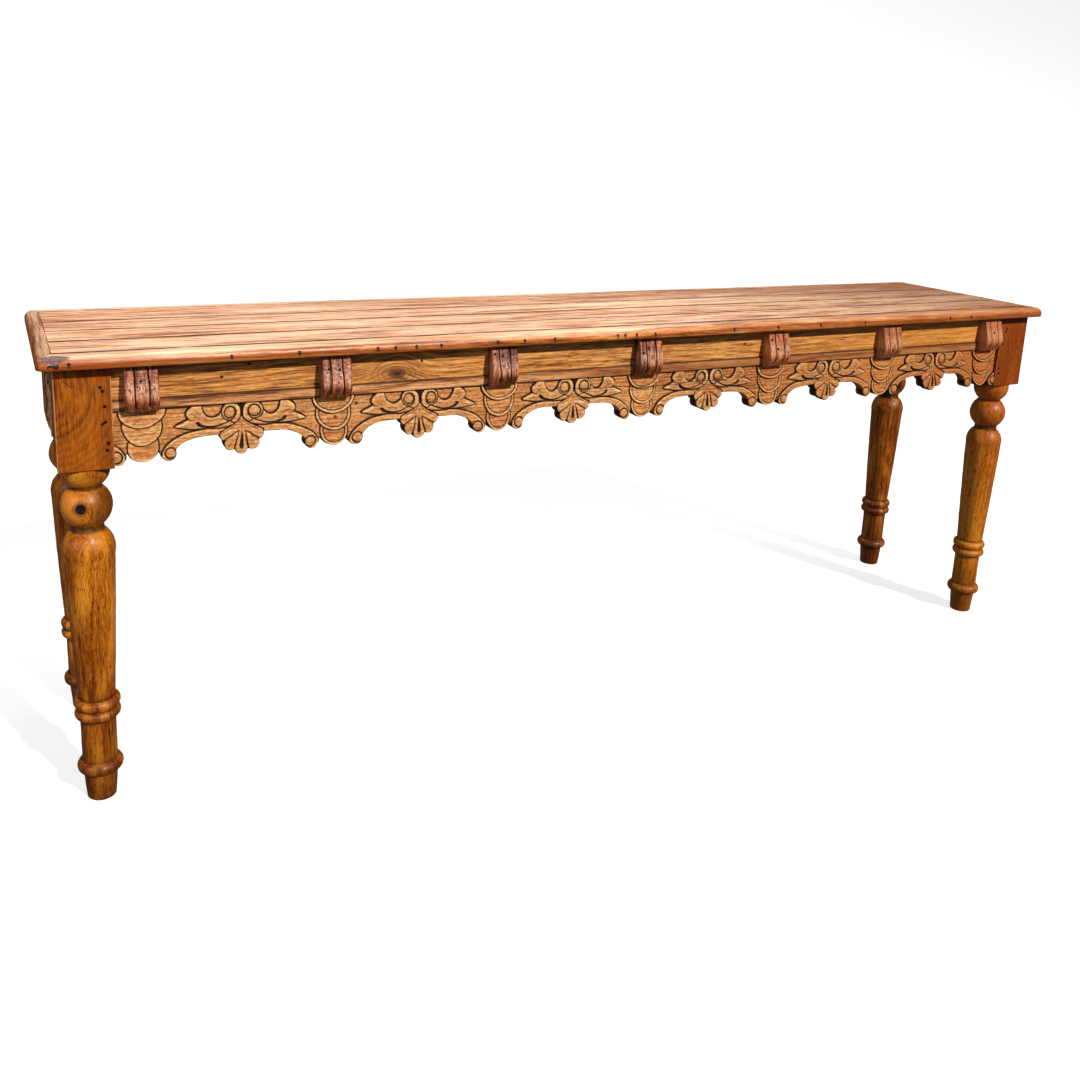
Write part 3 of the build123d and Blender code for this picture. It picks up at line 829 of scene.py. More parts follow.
def frieze_wood():
    """Golden lengthwise grain with one knot the grain flows round."""
    g = Wood("frieze_wood", 0, frieze_tones, 7, pith=(0.2, -0.1, 0.64), stretch=0.02, ring=0.007,
             weights=(0.1, 0.7, 0.3, 0.2), pores=0.7, contrast=2.7, lean=0.57, bulge=(knot_x, 0.045, 0.022),
             dashes=0.6)
    for x, z in frieze_holes:
        g.hole((x, rail_face_y * MM, z))
    away = g.vector("MULTIPLY", g.vector("SUBTRACT", g.here, (knot_x, -0.19, 0.699)), (0.6, 0.0, 1.15))
    away = g.scaled(g.lumps((40.0, 40.0, 40.0)), 0.008, g.vector("LENGTH", away))
    phase = g.value("FRACT", g.value("DIVIDE", away, 0.0062))
    circles = g.grey(phase, (0, 0.2), (0.3, 1), (0.75, 0.7), (1, 0.1))
    away = g.times(away, 20.0)
    g.stain(g.times(g.below(away, 0.42, 0.72), g.minus(1.0, circles)), (112, 62, 26), 0.8)
    g.stain(g.rightward(1.6, -0.4), (232, 146, 40), 0.4)
    g.stain(g.below(away, 0.2, 0.36), (88, 40, 26), 0.9)
    g.stain(g.below(away, 0.11, 0.17), (36, 14, 14), 0.9)
    g.stain(g.band(2, fillet_top_z * MM, 0.0012, 0.0008), (40, 16, 8), 0.85)
    return g.done(bump=0.5)


def fillet_wood():
    """Paler lengthwise grain, with a dark joint line along the top edge and a painted shadow line along the
    bottom edge.
    """
    tones = ((96, 50, 24), (164, 100, 54), (204, 136, 80), (228, 160, 104), (244, 184, 130))
    g = Wood("fillet_wood", 0, tones, 8, pith=(0, -0.1, 0.6), weights=(0.2, 0.6, 0.3, 0.25), pores=0.6,
             contrast=2.6, dashes=0.6)
    g.stain(g.rightward(1.6, 0.6), (150, 82, 28), 0.6)
    # Along the top edge a dark joint; along the bottom edge a painted shadow line, at the gap over the
    # carving.
    edges = g.either(g.band(2, fillet_top_z * MM, 0.0006, 0.0014), g.band(2, apron_z * MM, 0.0010, 0.0012))
    g.stain(g.times(edges, g.grey(g.drawn(10, 40), (0.3, 0.4), (0.5, 1))), (40, 18, 8), 0.9)
    return g.done(bump=0.4)


carved_tones = ((104, 52, 20), (180, 106, 50), (224, 148, 80), (248, 176, 102), (255, 204, 138))


def carved_wood(name, along, seed):
    """A painted highlight, partly worn pale, on the high parts, and old polish with painted shade darkening
    every cut.
    """
    g = Wood(name, along, carved_tones, seed, pith=(0.1, -0.15, 0.55), stretch=0.02, ring=0.006,
             weights=(0.12, 0.5, 0.3, 0.35), pores=0.6, contrast=2.8, lean=0.54, dashes=0.55,
             rough=(0.54, 0.42))
    front = along == 0
    if front:
        for x, z in ((-0.570, 0.652), (-0.607, 0.631)):
            g.hole((x, (valance_front_y + 1.0) * MM, z), 0.003, 0.15)
    rub = g.attribute("rub")
    # Painted shade on the ground away from the high spots, partly stain, then the painted highlight on the
    # high spots.
    g.stain(g.above(g.minus(1.0, rub), 0.25, 0.8), (146, 76, 32), 0.3)
    g.stain(rub, (255, 212, 150), 0.6)
    mottle = g.lumps((170.0, 170.0, 230.0), 4, 0.65)
    g.stain(g.above(mottle, 0.5, 0.66), (140, 66, 26), 0.55)
    g.stain(g.below(mottle, 0.3, 0.44), (255, 206, 146), 0.5)
    if front:
        g.stain(g.rightward(1.4, -0.2), (184, 92, 10), 0.5)
    # Dirt and painted shade in the cuts and hollows.
    g.stain(g.grey(g.hollow_dirt_and_shade(0.75), (0.08, 0), (0.3, 0.5), (0.56, 1)), (34, 11, 2), 0.97)
    g.swell(g.lumps((260.0, 260.0, 200.0)), 1.1)
    return g.done(bump=0.6, specular=0.25)


def corbel_wood():
    """Purple-brown heartwood, with a painted pink highlight across the upward-facing bulge."""
    tones = ((46, 15, 4), (108, 45, 18), (170, 88, 46), (214, 128, 80), (252, 182, 134))
    g = Wood("corbel_wood", 2, tones, 31, pith=(0.2, -0.3, 0.7), weights=(0.1, 0.5, 0.3, 0.4), pores=0.4,
             contrast=2.6, lean=0.44, dashes=0.25, rough=(0.42, 0.26))
    # Dirt and painted shade in the grooves and on the side faces.
    g.stain(g.above(g.hollow_dirt_and_shade(0.8), 0.1, 0.6), (22, 8, 4), 0.97)
    # A painted highlight on the upward-facing bulge, along the lighter streaks.
    g.stain(g.times(g.attribute("rub"), g.above(g.streak, 0.42, 0.6)), (255, 196, 158), 0.6)
    g.stain(g.rightward(1.2, -0.2), (220, 140, 84), 0.5)
    g.stain(g.attribute("spot"), (14, 6, 4), 0.95)
    g.swell(g.lumps((60.0, 60.0, 420.0), 1), 0.9)
    return g.done(bump=0.5, coat=0.2)


leg_tones = ((78, 28, 1), (136, 64, 4), (178, 96, 10), (206, 122, 22), (228, 150, 40))


def leg_wood(key, seed, pith, shade):
    """Honey-brown polish with fine dark pores and flecks, darker at the foot, with dirt and painted shade in
    the crevices.
    """
    g = Wood(f"leg_wood_{key}", 2, leg_tones, seed, pith=pith, stretch=0.05, ring=0.009,
             weights=(0.08, 0.42, 0.3, 0.5), pores=0.9, pore_colour=(50, 18, 1), contrast=2.3,
             lean=0.52 - shade, dashes=0.6, rough=(0.46, 0.34))
    g.stain(g.above(g.drawn(9, 40, 3), 0.5, 0.66), (240, 154, 44), 0.5)
    g.stain(g.below(g.z, 0.02, 0.16), (66, 22, 1), 0.6)
    g.stain(g.above(g.drawn(90, 700), 0.56, 0.64), (56, 20, 2), 0.65)
    if key == "front_right":
        g.stain(g.grey(g.z, (0.38, 0.15), (0.5, 0.5)), (168, 62, 6), 0.8)
    if key == "front_left":
        ball = g.band(2, (ball_z + lifts[key]) * MM, 0.024, 0.006)
        across = g.times(g.minus(g.x, leg_centres[key][0] * MM), 20.0)
        across = g.scaled(g.minus(g.blotch, 0.5), 1.4, across)
        g.stain(g.times(ball, g.above(across, 0.0, 0.35)), (70, 26, 2), 0.65)
        g.stain(g.times(ball, g.above(g.times(across, -1.0), 0.1, 0.4)), (244, 148, 52), 0.6)
        g.stain(g.blob(knot_centre, (0.0155, 0.03, 0.0155), 0.25), (84, 32, 6), 0.6)
        knot = g.blob(knot_centre, (0.0100, 0.02, 0.0100), 0.10)
        g.stain(knot, (14, 5, 3))
        g.rough = g.mix(knot, g.rough, (0.95, 0.95, 0.95, 1))
    # Dirt and painted shade in the turned crevices.
    g.stain(g.above(g.hollow_dirt_and_shade(0.8), 0.3, 0.9), (34, 11, 1), 0.85)
    return g.done(coat=0.05, specular=0.3)


def worm_groove(g):
    """Four holes in a row on the front face and a thin slanting crack above them."""
    face_y = (leg_centres["front_left"][1] - block_half) * MM
    for x, z in ((-0.967, 0.654), (-0.969, 0.6528), (-0.971, 0.6514), (-0.973, 0.650)):
        g.hole((x, face_y, z), 0.0021)
    line = g.scaled(g.lumps((60.0, 60.0, 60.0)), 0.004, g.scaled(g.x, 0.95, g.z))
    away = g.value("ABSOLUTE", g.minus(line, -0.2505))
    crack = g.times(g.band(2, 0.721, 0.008, 0.006), g.below(g.times(away, 100.0), 0.05, 0.11))
    g.stain(crack, (40, 14, 2), 0.9)
    g.sink(crack, 2.0)


def block_wood(key, seed, pith, shade):
    """The square head of a leg: broad rings that cross the face in arcs, and pale edges that are worn and
    carry a painted edge highlight.
    """
    g = Wood(f"block_wood_{key}", 2, leg_tones, seed, pith=pith, stretch=0.8, ring=0.0075,
             weights=(0.06, 0.34, 0.34, 0.6), pores=0.8, pore_colour=(60, 24, 2), contrast=2.2,
             lean=0.29 - shade, grain=(70, 260), rough=(0.55, 0.42))
    cx, cy = leg_centres[key]
    out = g.vector("MULTIPLY", g.vector("SUBTRACT", g.here, pith), (1.0, 1.0, 0.8))
    out = g.times(g.scaled(g.drawn(12, 25), 0.012, g.vector("LENGTH", out)), 5.0)
    g.stain(g.above(out, 0.44, 0.47), (188, 98, 16), 0.25)
    g.stain(g.grey(out, (0.405, 0), (0.44, 1), (0.445, 0)), (84, 34, 4), 0.45)
    if key == "front_right":
        g.stain(g.grey(g.drawn(2.5, 60, 4, 0.65), (0.3, 1), (0.7, 0.2)), (120, 36, 1), 0.8)
    off = [g.value("ABSOLUTE", g.minus(axis, c * MM)) for axis, c in ((g.x, cx), (g.y, cy))]
    # Pale vertical edges: worn wood and a painted edge highlight.
    edge_wear_and_highlight = g.above(g.times(g.value("MINIMUM", *off), 24.0), 0.935, 0.968)
    patchy = g.grey(g.drawn(20, 90, 3), (0.4, 0.2), (0.55, 1))
    g.stain(g.times(edge_wear_and_highlight, patchy), (226, 160, 112), 0.8)
    for head in nail_heads("leg_nails"):
        if abs(head[0] - cx) < 60 and cy < 0:
            g.hole(tuple(head * MM), 0.0028)
    if key == "front_left":
        worm_groove(g)
    return g.done(bump=0.3, specular=0.25)


def plain_wood(name, along, seed, pith, contrast, *tones):
    """Unpolished timber for what is out of sight."""
    return Wood(name, along, tones, seed, pith=pith, contrast=contrast).done(bump=0.4)


def steel(name, rust):
    """Old dark iron with rusty patches."""
    g = Graph(name)
    patch = g.noise(g.coordinates(), scale=420, detail=4)
    colour = g.ramp(patch, [(0.35, linear((16, 12, 12))), (0.55, linear((34, 24, 20))), (0.72, linear(rust))])
    g.put(g.shader.inputs["Base Color"], colour)
    g.put(g.shader.inputs["Roughness"], g.grey(patch, (0.3, 0.45), (0.7, 0.8)))
    g.shader.inputs["Metallic"].default_value = 0.6
    g.relief(patch, 0.4, 0.0003)
    return g.material


# ---------------------------------------------------------------- carved pieces
half_run = bay_pitch * bay_count / 2
valance_rows = np.arange(580.0, apron_z + 0.01, 1.0)


def carved_board(node, verts, faces, grime_and_shade, rise, wood):
    """Finishes a carved plank, kept above the lowest point of its CAD node."""
    verts[:, 2] = np.maximum(verts[:, 2], box_of(node)[0].z)
    mesh = build_mesh(f"{node}_carving", verts, faces, wax=grime_and_shade, rub=rise)
    finish_piece(f"{node}_carving", mesh, [wood], node)


def front_valance():
    """Six bays of carving, with a long crack across the middle."""
    plain, rimmed = half_bay(False), half_bay(True)
    sway_u, sway_z = waves(3, 10, 40, 160), waves(4, 10, 30, 120)
    tooling = waves(5, 14, 5, 16)
    crack = [(-165, 651), (-120, 647), (-60, 645.5), (0, 642), (60, 641.5), (120, 645), (205, 643)]
    crack = curve_through(crack, False, 6)

    def read(u, z):
        su = u + 0.8 * sway_u(u, z)
        sz = z + 0.55 * sway_z(u, z)
        a = np.abs((su + half_run) % bay_pitch - drop_x)
        past = np.abs(su) - half_run
        a = np.where(past > 0, drop_x - past, a)
        mix = smooth_step(-862, -856, u)
        h, grime_and_shade, edge, rise = sample(plain, a, sz) * (1 - mix) + sample(rimmed, a, sz) * mix
        h = h + 0.12 * tooling(u, z)
        d, _ = path_distance(u, z, crack)
        slit = np.exp(-((d / 0.7) ** 2)) * smooth_step(-170, -150, u) * (1 - smooth_step(190, 205, u))
        h = h - 1.2 * slit
        # Painted shadow: the top edge is rounded down and darkened as a shadow line where the fillet
        # overhangs it.
        lip = smooth_step(apron_z - 1.6, apron_z - 0.4, z)
        h = h - 1.4 * lip
        grime_and_shade = np.maximum(grime_and_shade, np.maximum(0.85 * slit, lip))
        h = np.clip(h, -2.0, carving_top)
        return -valance_front_y - carving_top + h, grime_and_shade, edge, rise

    u_axis = np.linspace(-apron_half_x, apron_half_x, 1915)
    carved = relief_mesh(u_axis, valance_rows, read, valance_back_y)
    carved_board("front_valance", *carved, carved_wood("carved_wood", 0, 11))


def side_valance(word, sign):
    """One bay of the same carving, drawn in to the narrower end of the table."""
    maps = half_bay(True)
    sway_u, sway_z = waves(30 + sign, 10, 40, 160), waves(33 + sign, 10, 30, 120)
    tooling = waves(36 + sign, 14, 5, 16)
    shift = 128.2 - apron_half_y  # the rolled curl ends against the leg block
    face = 197.5

    def read(u, z):
        su = u + 0.8 * sway_u(u, z)
        sz = z + 0.55 * sway_z(u, z)
        a = np.abs(su)
        a = a + shift * smooth_step(72, 98, a)
        h, grime_and_shade, edge, rise = sample(maps, a, sz)
        h = np.clip(h + 0.12 * tooling(u, z), -2.0, carving_top)
        return face - carving_top + h, grime_and_shade, edge, rise

    u_axis = np.linspace(-apron_half_y, apron_half_y, 235)
    low, high = box_of(f"side_valance_{word}")
    verts, *rest = relief_mesh(u_axis, valance_rows, read, high.x - low.x - face)
    outer = abs(low.x) if sign < 0 else high.x
    turned = np.stack([sign * (outer - verts[:, 1] - face), sign * verts[:, 0], verts[:, 2]], 1)
    wood = carved_wood(f"side_carved_wood_{word}", 1, 12 + sign)
    carved_board(f"side_valance_{word}", turned, *rest, wood)


corbel_half = 25.0
corbel_front = (
    (15.0, 742.0), (20.5, 722.0), (25.5, 705.0), (27.8, 693.0), (26.5, 684.0), (20.5, 675.0), (14.0, 668.0),
)
lobe_edges = (-25.0, -10.7, 10.2, 25.0)


def corbel(i, wood):
    """Three rounded upright lobes with deep grooves between, on an ogee foot."""
    low, high = box_of(f"corbel_{i}")
    middle = (low.x + high.x) / 2
    profile = curve_through(corbel_front, closed=False, steps=10)
    stations = np.linspace(0, len(profile) - 1, 70)
    reach, height = (np.interp(stations, np.arange(len(profile)), column) for column in profile.T)
    across = np.linspace(-corbel_half, corbel_half, 67)
    u, z = np.meshgrid(across, height)
    out = np.repeat(reach[:, None], len(across), 1)
    chatter = waves(60 + i, 12, 2.5, 7)
    ends = 675.5 + 1.2 * np.sin(u * 0.7 + i)
    fade = smooth_step(ends - 3.0, ends + 3.0, z)
    sag = np.zeros(u.shape)
    grime_and_shade = np.zeros(u.shape)
    for left, right in zip(lobe_edges, lobe_edges[1:]):
        t = (2 * u - left - right) / (right - left)
        here = np.abs(t) <= 1
        sag = np.where(here, 1.7 * (1 - np.sqrt(np.clip(1 - np.abs(t) ** 6.0, 0, 1))), sag)
    # The grooves, and the notch where the lobes end, are darkened with dirt and painted shade.
    for cut in lobe_edges[1:3]:
        wander = cut + 0.5 * np.sin(z * 0.11 + i * 1.7 + cut)
        d = np.abs(u - wander)
        groove = np.exp(-((d / 0.8) ** 2))
        sag += 4.5 * groove
        grime_and_shade = np.maximum(grime_and_shade, np.exp(-((d / 1.1) ** 2)))
    sag = sag * fade
    grime_and_shade = grime_and_shade * fade
    foot = np.exp(-(((z - ends + 1.5) / 1.3) ** 2)) * 0.6
    sag += 0.9 * foot
    grime_and_shade = np.maximum(grime_and_shade, foot * 0.6)
    side = 1.6 * (1 - np.sqrt(np.clip(1 - np.clip((np.abs(u) - 23.0) / 2.0, 0, 1) ** 2, 0, 1)))
    out = np.clip(out - sag * 0.9 - side - 0.12 * (1 + chatter(u * 0.4, z)), 4.0, reach.max())
    # A painted highlight across the upper part of the bulge, which faces up into the light.
    rub = smooth_step(684, 696, z) * (1 - smooth_step(704, 722, z)) * (1 - grime_and_shade)
    verts, wax, bulge_highlight = [], [], []
    width = len(across) + 2
    for k, level in enumerate(height):
        back = 3.0 if level < fillet_top_z else 0.0  # the corbel sits over the fillet
        line = [(-corbel_half, back), *zip(across, out[k]), (corbel_half, back)]
        verts += [(middle + x, rail_face_y - o, level) for x, o in line]
        # The back edges take some painted shade, which spreads across the side faces.
        wax += [0.2] + list(grime_and_shade[k]) + [0.2]
        bulge_highlight += [0.0] + list(rub[k]) + [0.0]
    faces = grid_faces(len(height), width, wrap_columns=True)
    faces.append(list(range(width)))
    faces.append([(len(height) - 1) * width + j for j in range(width)][::-1])
    name = f"corbel_{i}_carving"
    spot = spots_at(nail_heads("corbel_nails"), verts, 2.2, 3.2)
    mesh = build_mesh(name, verts, faces, wax=wax, rub=bulge_highlight, spot=spot)
    finish_piece(name, mesh, [wood], f"corbel_{i}", sharp=50)


# ---------------------------------------------------------------- legs
block_z = 578.0
block_half = 41.0
ball_z = 506.5
lifts = {"front_left": 5.5, "front_right": -2.0}  # the hand-turned balls are not at one height


def leg_profile(lift):
    """Radius and height up the turned part; the ball and its necks are moved by the lift."""
    mid = ball_z + lift
    line = [(0.0, 0.0), (21.5, 0.0)]
    line += arc_points((21.5, 0), (22.9, 0.7), (23.4, 2.2), 4)
    line += [(24.4, 14.0), (25.3, 25.0), (26.2, 36.0), (27.0, 46.0), (27.6, 48.0)]
    line += arc_points((27.6, 48), (36.5, 59), (28.6, 70), 14)
    line += [(28.0, 74.0)] + [(28.0 + 0.3 * k / 9, 74 + 71.5 * k / 9) for k in range(1, 10)]
    line += arc_points((28.3, 145.5), (36.5, 154), (31.5, 162.5), 12) + [(31.3, 163.7), (31.5, 165.0)]
    line += arc_points((31.5, 165), (36.5, 173.5), (29, 182.5), 12)
    line += arc_points((29, 182.5), (34.6, 300), (39.4, 428), 36)
    line += arc_points((39.4, 428), (37.2, 451 + lift), (27.5, mid - 41), 14)
    line += [(25.6, mid - 40.5), (25.0, mid - 39.8), (25.0, mid - 30.9)]
    line += arc_points((25, mid - 30.4), (39.4, mid), (25, mid + 30.4), 26)
    line += [(25.0, mid + 33.8), (25.6, mid + 34.7), (26.5, mid + 35)]
    line += arc_points((26.5, mid + 35), (35.2, mid + 47), (38.6, mid + 61.5), 12)
    return line + [(38.6, block_z), (38.0, block_z + 1.5), (0, block_z + 1.5)]


knot_turn = math.radians(-107)
knot_z = 516.5
leg_centres = {}
for row in ("front", "back"):
    for word in ("left", "right"):
        low, high = box_of(f"leg_{row}_{word}")
        leg_centres[f"{row}_{word}"] = ((low.x + high.x) / 2, (low.y + high.y) / 2)
ball_r = 39
knot_x_offset, knot_y_offset = ball_r * math.cos(knot_turn), ball_r * math.sin(knot_turn)
knot_centre = (
    (leg_centres["front_left"][0] + knot_x_offset) * MM,
    (leg_centres["front_left"][1] + knot_y_offset) * MM,
    knot_z * MM,
)


def leg(key, turned, squared, seed):
    """A lathe-turned leg with small dents, under a square block with softened edges."""
    cx, cy = leg_centres[key]
    profile = np.array(leg_profile(lifts.get(key, 0.0)))
    r, z = profile[:, 0], profile[:, 1]
    smooth = np.convolve(np.pad(r, 3, mode="edge"), np.ones(7) / 7, mode="valid")
    # How far each ring lies inside its neighbours: it sets the painted shade in the crevices.
    hollow = np.clip((smooth - r) / 2.2, 0, 1) * (r > 5)
    around = 96
    turns = np.linspace(0, 2 * math.pi, around, endpoint=False)
    dents = waves(seed, 16, 12, 60)
    ridges = waves(seed + 1, 6, 3, 8)
    radius = np.repeat(r[:, None], around, 1)
    girth = 33.0  # a mean radius, to measure the dents along the surface
    arc = turns[None, :] * girth
    wobble = 0.14 * (dents(arc, z[:, None]) + dents(arc - 2 * math.pi * girth, z[:, None]) - 2.2)
    wobble = wobble + 0.05 * (ridges(0 * arc, z[:, None]) - 1.5)
    radius = radius + np.clip(wobble, -0.6, 0.0) * (r[:, None] > 5)
    if key == "front_left":
        gap = np.abs((turns - knot_turn + math.pi) % (2 * math.pi) - math.pi) * ball_r
        away = np.hypot(gap[None, :], z[:, None] - knot_z)
        radius = radius - 3.0 * np.exp(-((away / 6.4) ** 6))
    verts, wax = [], []
    for k in range(len(r)):
        if r[k] == 0:
            verts.append((cx, cy, z[k]))
            wax.append(0.0)
            continue
        verts += [(cx + q * math.cos(t), cy + q * math.sin(t), z[k]) for q, t in zip(radius[k], turns)]
        wax += [hollow[k]] * around
    rings = len(r) - 2  # the first and the last are single points
    faces = grid_faces(rings, around, first=1, wrap_columns=True)
    last = 1 + (rings - 1) * around
    for j in range(around):
        n = (j + 1) % around
        faces.append([0, 1 + n, 1 + j])
        faces.append([last + j, last + n, len(verts) - 1])
    mesh = bpy.data.meshes.new(f"leg_{key}_turned")
    mesh.from_pydata((np.array(verts) * MM).tolist(), [], faces)
    point_attribute(mesh, "wax", wax)
    work = bmesh.new()
    work.from_mesh(mesh)
    size = Vector((2 * block_half, 2 * block_half, under_z - block_z)) * MM
    middle = Vector((cx, cy, (under_z + block_z) / 2)) * MM
    place = Matrix.Translation(middle) @ Matrix.Diagonal((*size, 1))
    made = bmesh.ops.create_cube(work, size=1.0, matrix=place)
    cube = set(made["verts"])
    low_edges = [e for e in work.edges if cube >= set(e.verts) and all(v.co.z < middle.z for v in e.verts)]
    bmesh.ops.bevel(work, geom=low_edges, offset=2.2 * MM, segments=3, affect="EDGES", profile=0.5)
    tall_edges = [e for e in work.edges if abs(e.verts[0].co.z - e.verts[1].co.z) > 0.1]
    bmesh.ops.bevel(work, geom=tall_edges, offset=1.3 * MM, segments=3, affect="EDGES", profile=0.5)
    for face in work.faces:
        if min(v.co.z for v in face.verts) >= (block_z - 0.01) * MM and max(
            math.hypot(v.co.x - cx * MM, v.co.y - cy * MM) for v in face.verts
        ) > 0.0395:
            face.material_index = 1
    bmesh.ops.recalc_face_normals(work, faces=work.faces)
    work.to_mesh(mesh)
    work.free()
    finish_piece(f"leg_{key}_turned", mesh, [turned, squared], f"leg_{key}", sharp=42)


# ---------------------------------------------------------------- top edge strips
def rim_distance(x, y):
    """Distance in from the rounded outline of the top, in plan."""
    qx = np.abs(x) - (half_length - corner_r)
    qy = np.abs(y) - (half_depth - corner_r)
    outside = np.hypot(np.maximum(qx, 0), np.maximum(qy, 0)) + np.minimum(np.maximum(qx, qy), 0)
    return corner_r - outside


def outline_run(key):
    """Outer and inner points of one strip, in pairs along its length."""
    ix, iy = inner_half_x, inner_half_y
    mitre = math.atan2(half_depth - iy, half_length - ix)
    cx, cy = half_length - corner_r, half_depth - corner_r
    ex, ey = math.cos(mitre), math.sin(mitre)
    px, py = ix - cx, iy - cy
    along = -(px * ex + py * ey) + math.sqrt((px * ex + py * ey) ** 2 - (px * px + py * py - corner_r**2))
    corner_turn = math.atan2(iy + along * ey - cy, ix + along * ex - cx)
    axis = 0 if key in ("front", "back") else 1
    if axis == 0:
        last_turn = math.pi / 2
        straight = [(x, half_depth) for x in np.linspace(cx, 0, 800)[1:]]
    else:
        last_turn = 0
        straight = [(half_length, y) for y in np.linspace(cy, 0, 150)[1:]]
    turns = np.linspace(corner_turn, last_turn, 12)
    corner = [(cx + corner_r * math.cos(t), cy + corner_r * math.sin(t)) for t in turns]
    half = np.array(corner + straight)
    inner = np.tile([ix, iy], (len(half), 1))
    inner[:, axis] *= half[:, axis] / half[0, axis]
    flip = np.array([-1, 1]) if axis == 0 else np.array([1, -1])
    outer = np.vstack([half, (half * flip)[-2::-1]])
    inner = np.vstack([inner, (inner * flip)[-2::-1]])
    sign = {"front": (1, -1), "back": (1, 1), "right": (1, 1), "left": (-1, 1)}[key]
    return outer * sign, inner * sign


def edge_strip(key, wood, seed):
    """A moulded strip: a worn quarter round on the outside, flat on top, mitred at both ends."""
    outer, inner = outline_run(key)
    wear = waves(seed, 18, 9, 90)
    depth = np.array(
        [0, 0.15, 0.5, 1.1, 1.9, 2.9, 4.1, 5.5, 7.0, 8.7, 10.4, 12.0, 13.2, 14.5, 17.0, 21.0, 26.0])
    full = 24.0 if key in ("left", "right") else half_depth - inner_half_y
    steps = np.append(depth[depth < full - 1.2] / full, [1 - 0.9 / full, 1.0])
    rows = []
    for s in steps:
        p = outer + (inner - outer) * s
        d = np.clip(rim_distance(p[:, 0], p[:, 1]), 0, None)
        z = top_z - nosing_r + np.sqrt(nosing_r**2 - np.clip(nosing_r - d, 0, None) ** 2)
        rub = 0.22 * (1.6 - wear(p[:, 0], p[:, 1] + z))
        rub = rub * smooth_step(0.0, 3.0, d) * (1 - smooth_step(14, 22, d))
        z = z - np.clip(rub, 0, 0.8)
        if s > 1 - 0.5 / full:
            z = z - 0.9
        scar = np.exp(-(((p[:, 0] + 1042) / 17) ** 2 + ((p[:, 1] + 219) / 9) ** 2) ** 2)
        z = z - 2.0 * scar * (1 + 0.4 * wear(p[:, 0] * 2.3, p[:, 1] * 2.3))
        rows.append(np.column_stack([p, z]))
    for s, z in ((1.0, under_z), (0.06, under_z), (0.02, under_z + 0.3), (0.0, under_z + 1.2)):
        p = outer + (inner - outer) * s
        rows.append(np.column_stack([p, np.full(len(p), z)]))
    count = len(outer)
    verts = np.vstack(rows)
    faces = grid_faces(len(rows), count, wrap_rows=True)
    faces.append([k * count for k in range(len(rows))])
    faces.append([k * count + count - 1 for k in range(len(rows))][::-1])
    name = f"top_edge_{key}_moulding"
    heads = [h for h in nail_heads("edge_nails") if abs(abs(h[1]) - half_depth) < 2]
    mesh = build_mesh(name, verts, faces, spot=spots_at(heads, verts))
    finish_piece(name, mesh, [wood], f"top_edge_{key}", sharp=40)


# ---------------------------------------------------------------- build everything
front_valance()
side_valance("left", -1)
side_valance("right", 1)
purple = corbel_wood()
for i in range(1, 8):
    corbel(i, purple)

# Each leg's pith as turned and as squared (metres), and how much darker its wood is.
leg_looks = {
    "front_left": ((-1.06, -0.25, 0.3), (-1.043, -0.14, 0.705), 0.02),
    "front_right": ((1.08, -0.26, 0.5), (1.06, -0.1, 0.72), -0.14),
    "back_left": ((-1.07, 0.05, 0.2), (-1.0, 0.3, 0.75), 0.1),
    "back_right": ((0.9, 0.25, 0.4), (1.05, 0.1, 0.7), 0.22),
}
for k, key in enumerate(leg_centres):
    turned_pith, block_pith, shade = leg_looks[key]
    turned = leg_wood(key, 70 + k, turned_pith, shade)
    squared = block_wood(key, 80 + k, block_pith, shade)
    leg(key, turned, squared, 90 + k)

strips = (("front", 0, 0.0), ("back", 0, 0.0), ("left", 1, 0.9), ("right", 1, 0.5))
for k, (key, along, grey) in enumerate(strips):
    edge_strip(key, strip_wood(f"strip_wood_{key}", along, 41 + k, grey), 141 + k)

finishes = {f"top_board_{i + 1}": board_wood(i) for i in range(4)}
finishes["front_rail"] = frieze_wood()
finishes["front_fillet"] = fillet_wood()
finishes["back_rail"] = plain_wood(
    "back_rail_wood", 0, 52, (0.3, 0.1, 0.6), 1.7, (76, 40, 16), (120, 70, 30), (150, 94, 44), (174, 116, 62))
finishes["side_rail_left"] = finishes["side_rail_right"] = plain_wood(
    "side_rail_wood", 1, 53, (0.9, 0.1, 0.62), 1.7,
    (86, 44, 14), (136, 80, 28), (166, 104, 44), (190, 126, 62))
batten_wood = plain_wood(
    "batten_wood", 1, 51, (0, 0, 0.66), 1.6, (84, 46, 22), (128, 78, 42), (154, 100, 58), (176, 122, 76))
finishes.update({f"cross_batten_{i}": batten_wood for i in (1, 2, 3)})
nail_steel = steel("nail_steel", (70, 38, 22))
finishes.update({name: nail_steel for name in ("edge_nails", "leg_nails", "corbel_nails")})
finishes["batten_screws"] = steel("screw_steel", (96, 60, 40))
for name, material in finishes.items():
    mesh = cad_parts[name].data
    mesh.materials.clear()
    mesh.materials.append(material)


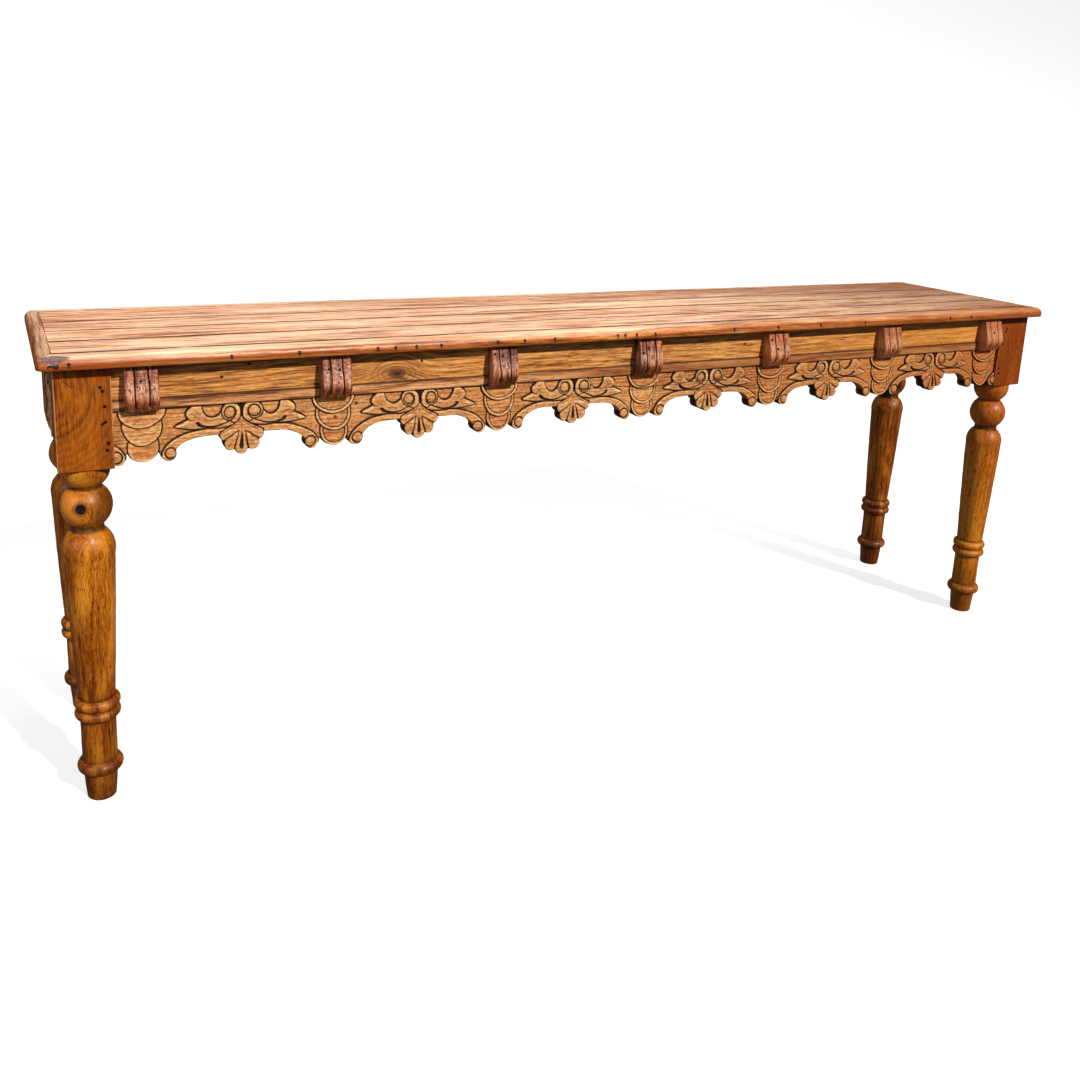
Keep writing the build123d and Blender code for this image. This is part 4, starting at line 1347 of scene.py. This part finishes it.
# ---------------------------------------------------------------- floor, lights and camera
def studio():
    """A round pale floor that curves up into a backdrop on every side."""
    g = Graph("studio_white")
    g.shader.inputs["Base Color"].default_value = (0.5, 0.5, 0.5, 1)
    g.shader.inputs["Roughness"].default_value = 0.9
    g.shader.inputs["Specular IOR Level"].default_value = 0.1
    g.shader.inputs["Emission Color"].default_value = (1, 1, 1, 1)
    g.shader.inputs["Emission Strength"].default_value = 0.72
    flat, bend, wall_top = 7.0, 2.5, 9.0
    run = [(r, 0.0) for r in (1.0, 3.0, 5.0, flat)]
    for t in np.linspace(0, math.pi / 2, 16)[1:]:
        run.append((flat + bend * math.sin(t), bend - bend * math.cos(t)))
    run.append((flat + bend, wall_top))
    around = 72
    turns = np.linspace(0, 2 * math.pi, around, endpoint=False)
    verts = [(0.0, 0.0, 0.0)]
    for r, z in run:
        verts += [(r * math.cos(turn), r * math.sin(turn), z) for turn in turns]
    faces = [[0, 1 + j, 1 + (j + 1) % around] for j in range(around)]
    faces += [face[::-1] for face in grid_faces(len(run), around, first=1, wrap_columns=True)]
    mesh = bpy.data.meshes.new("floor")
    mesh.from_pydata(verts, [], faces)
    mesh.materials.append(g.material)
    mesh.shade_smooth()
    floor = add_object("floor", mesh)
    floor.visible_diffuse = False  # a white floor would flatten the shadows in the carving
    floor.visible_glossy = False
    floor.visible_shadow = False  # the sun shines in over the backdrop


def aim(item, direction):
    item.rotation_euler = direction.to_track_quat("-Z", "Y").to_euler()


def area_light(name, place, target, size, power):
    light = bpy.data.lights.new(name, "AREA")
    light.shape = "RECTANGLE"
    light.size, light.size_y = size
    light.energy = power
    lamp = add_object(name, light)
    lamp.location = place
    aim(lamp, Vector(target) - Vector(place))


def lights():
    sun = bpy.data.lights.new("key", "SUN")
    sun.energy = 3.7
    sun.angle = math.radians(1.6)
    sun.color = (1.0, 0.97, 0.93)
    elevation, azimuth = math.radians(35), math.radians(20)
    level = math.cos(elevation)
    downward = Vector((-math.sin(azimuth) * level, math.cos(azimuth) * level, -math.sin(elevation)))
    aim(add_object("key", sun), downward)
    area_light("overhead", (0, 0.3, 3.2), (0, 0, 0.7), (4.5, 2.5), 70)
    area_light("left_fill", (-3.6, -1.6, 1.5), (-0.6, 0, 0.4), (1.2, 1.0), 26)
    world = bpy.data.worlds.new("studio")
    world.use_nodes = True
    sky = world.node_tree.nodes["Background"]
    sky.inputs[0].default_value = (0.97, 0.98, 1.0, 1)
    sky.inputs[1].default_value = 0.085
    bpy.context.scene.world = world
    bpy.context.scene.view_settings.view_transform = "Standard"


def camera():
    """The photograph's view: turns in radians, lens in millimetres, shifts as parts of the picture."""
    yaw, pitch, roll = 0.4650, -0.2294, 0.0413
    forward = Vector((math.sin(yaw) * math.cos(pitch), math.cos(yaw) * math.cos(pitch), math.sin(pitch)))
    right = Vector((math.cos(yaw), -math.sin(yaw), 0))
    up = right.cross(forward)
    turned_right = math.cos(roll) * right + math.sin(roll) * up
    turned_up = -math.sin(roll) * right + math.cos(roll) * up
    data = bpy.data.cameras.new("camera")
    data.sensor_width = 36.0
    data.lens = 36.0433
    data.shift_x, data.shift_y = 0.01398, -0.14537
    data.clip_end = 100
    eye = add_object("camera", data)
    axes = Matrix((turned_right, turned_up, -forward)).transposed().to_4x4()
    eye.matrix_world = Matrix.Translation((-1.1098, -1.8996, 1.1119)) @ axes
    bpy.context.scene.camera = eye


studio()
lights()
camera()
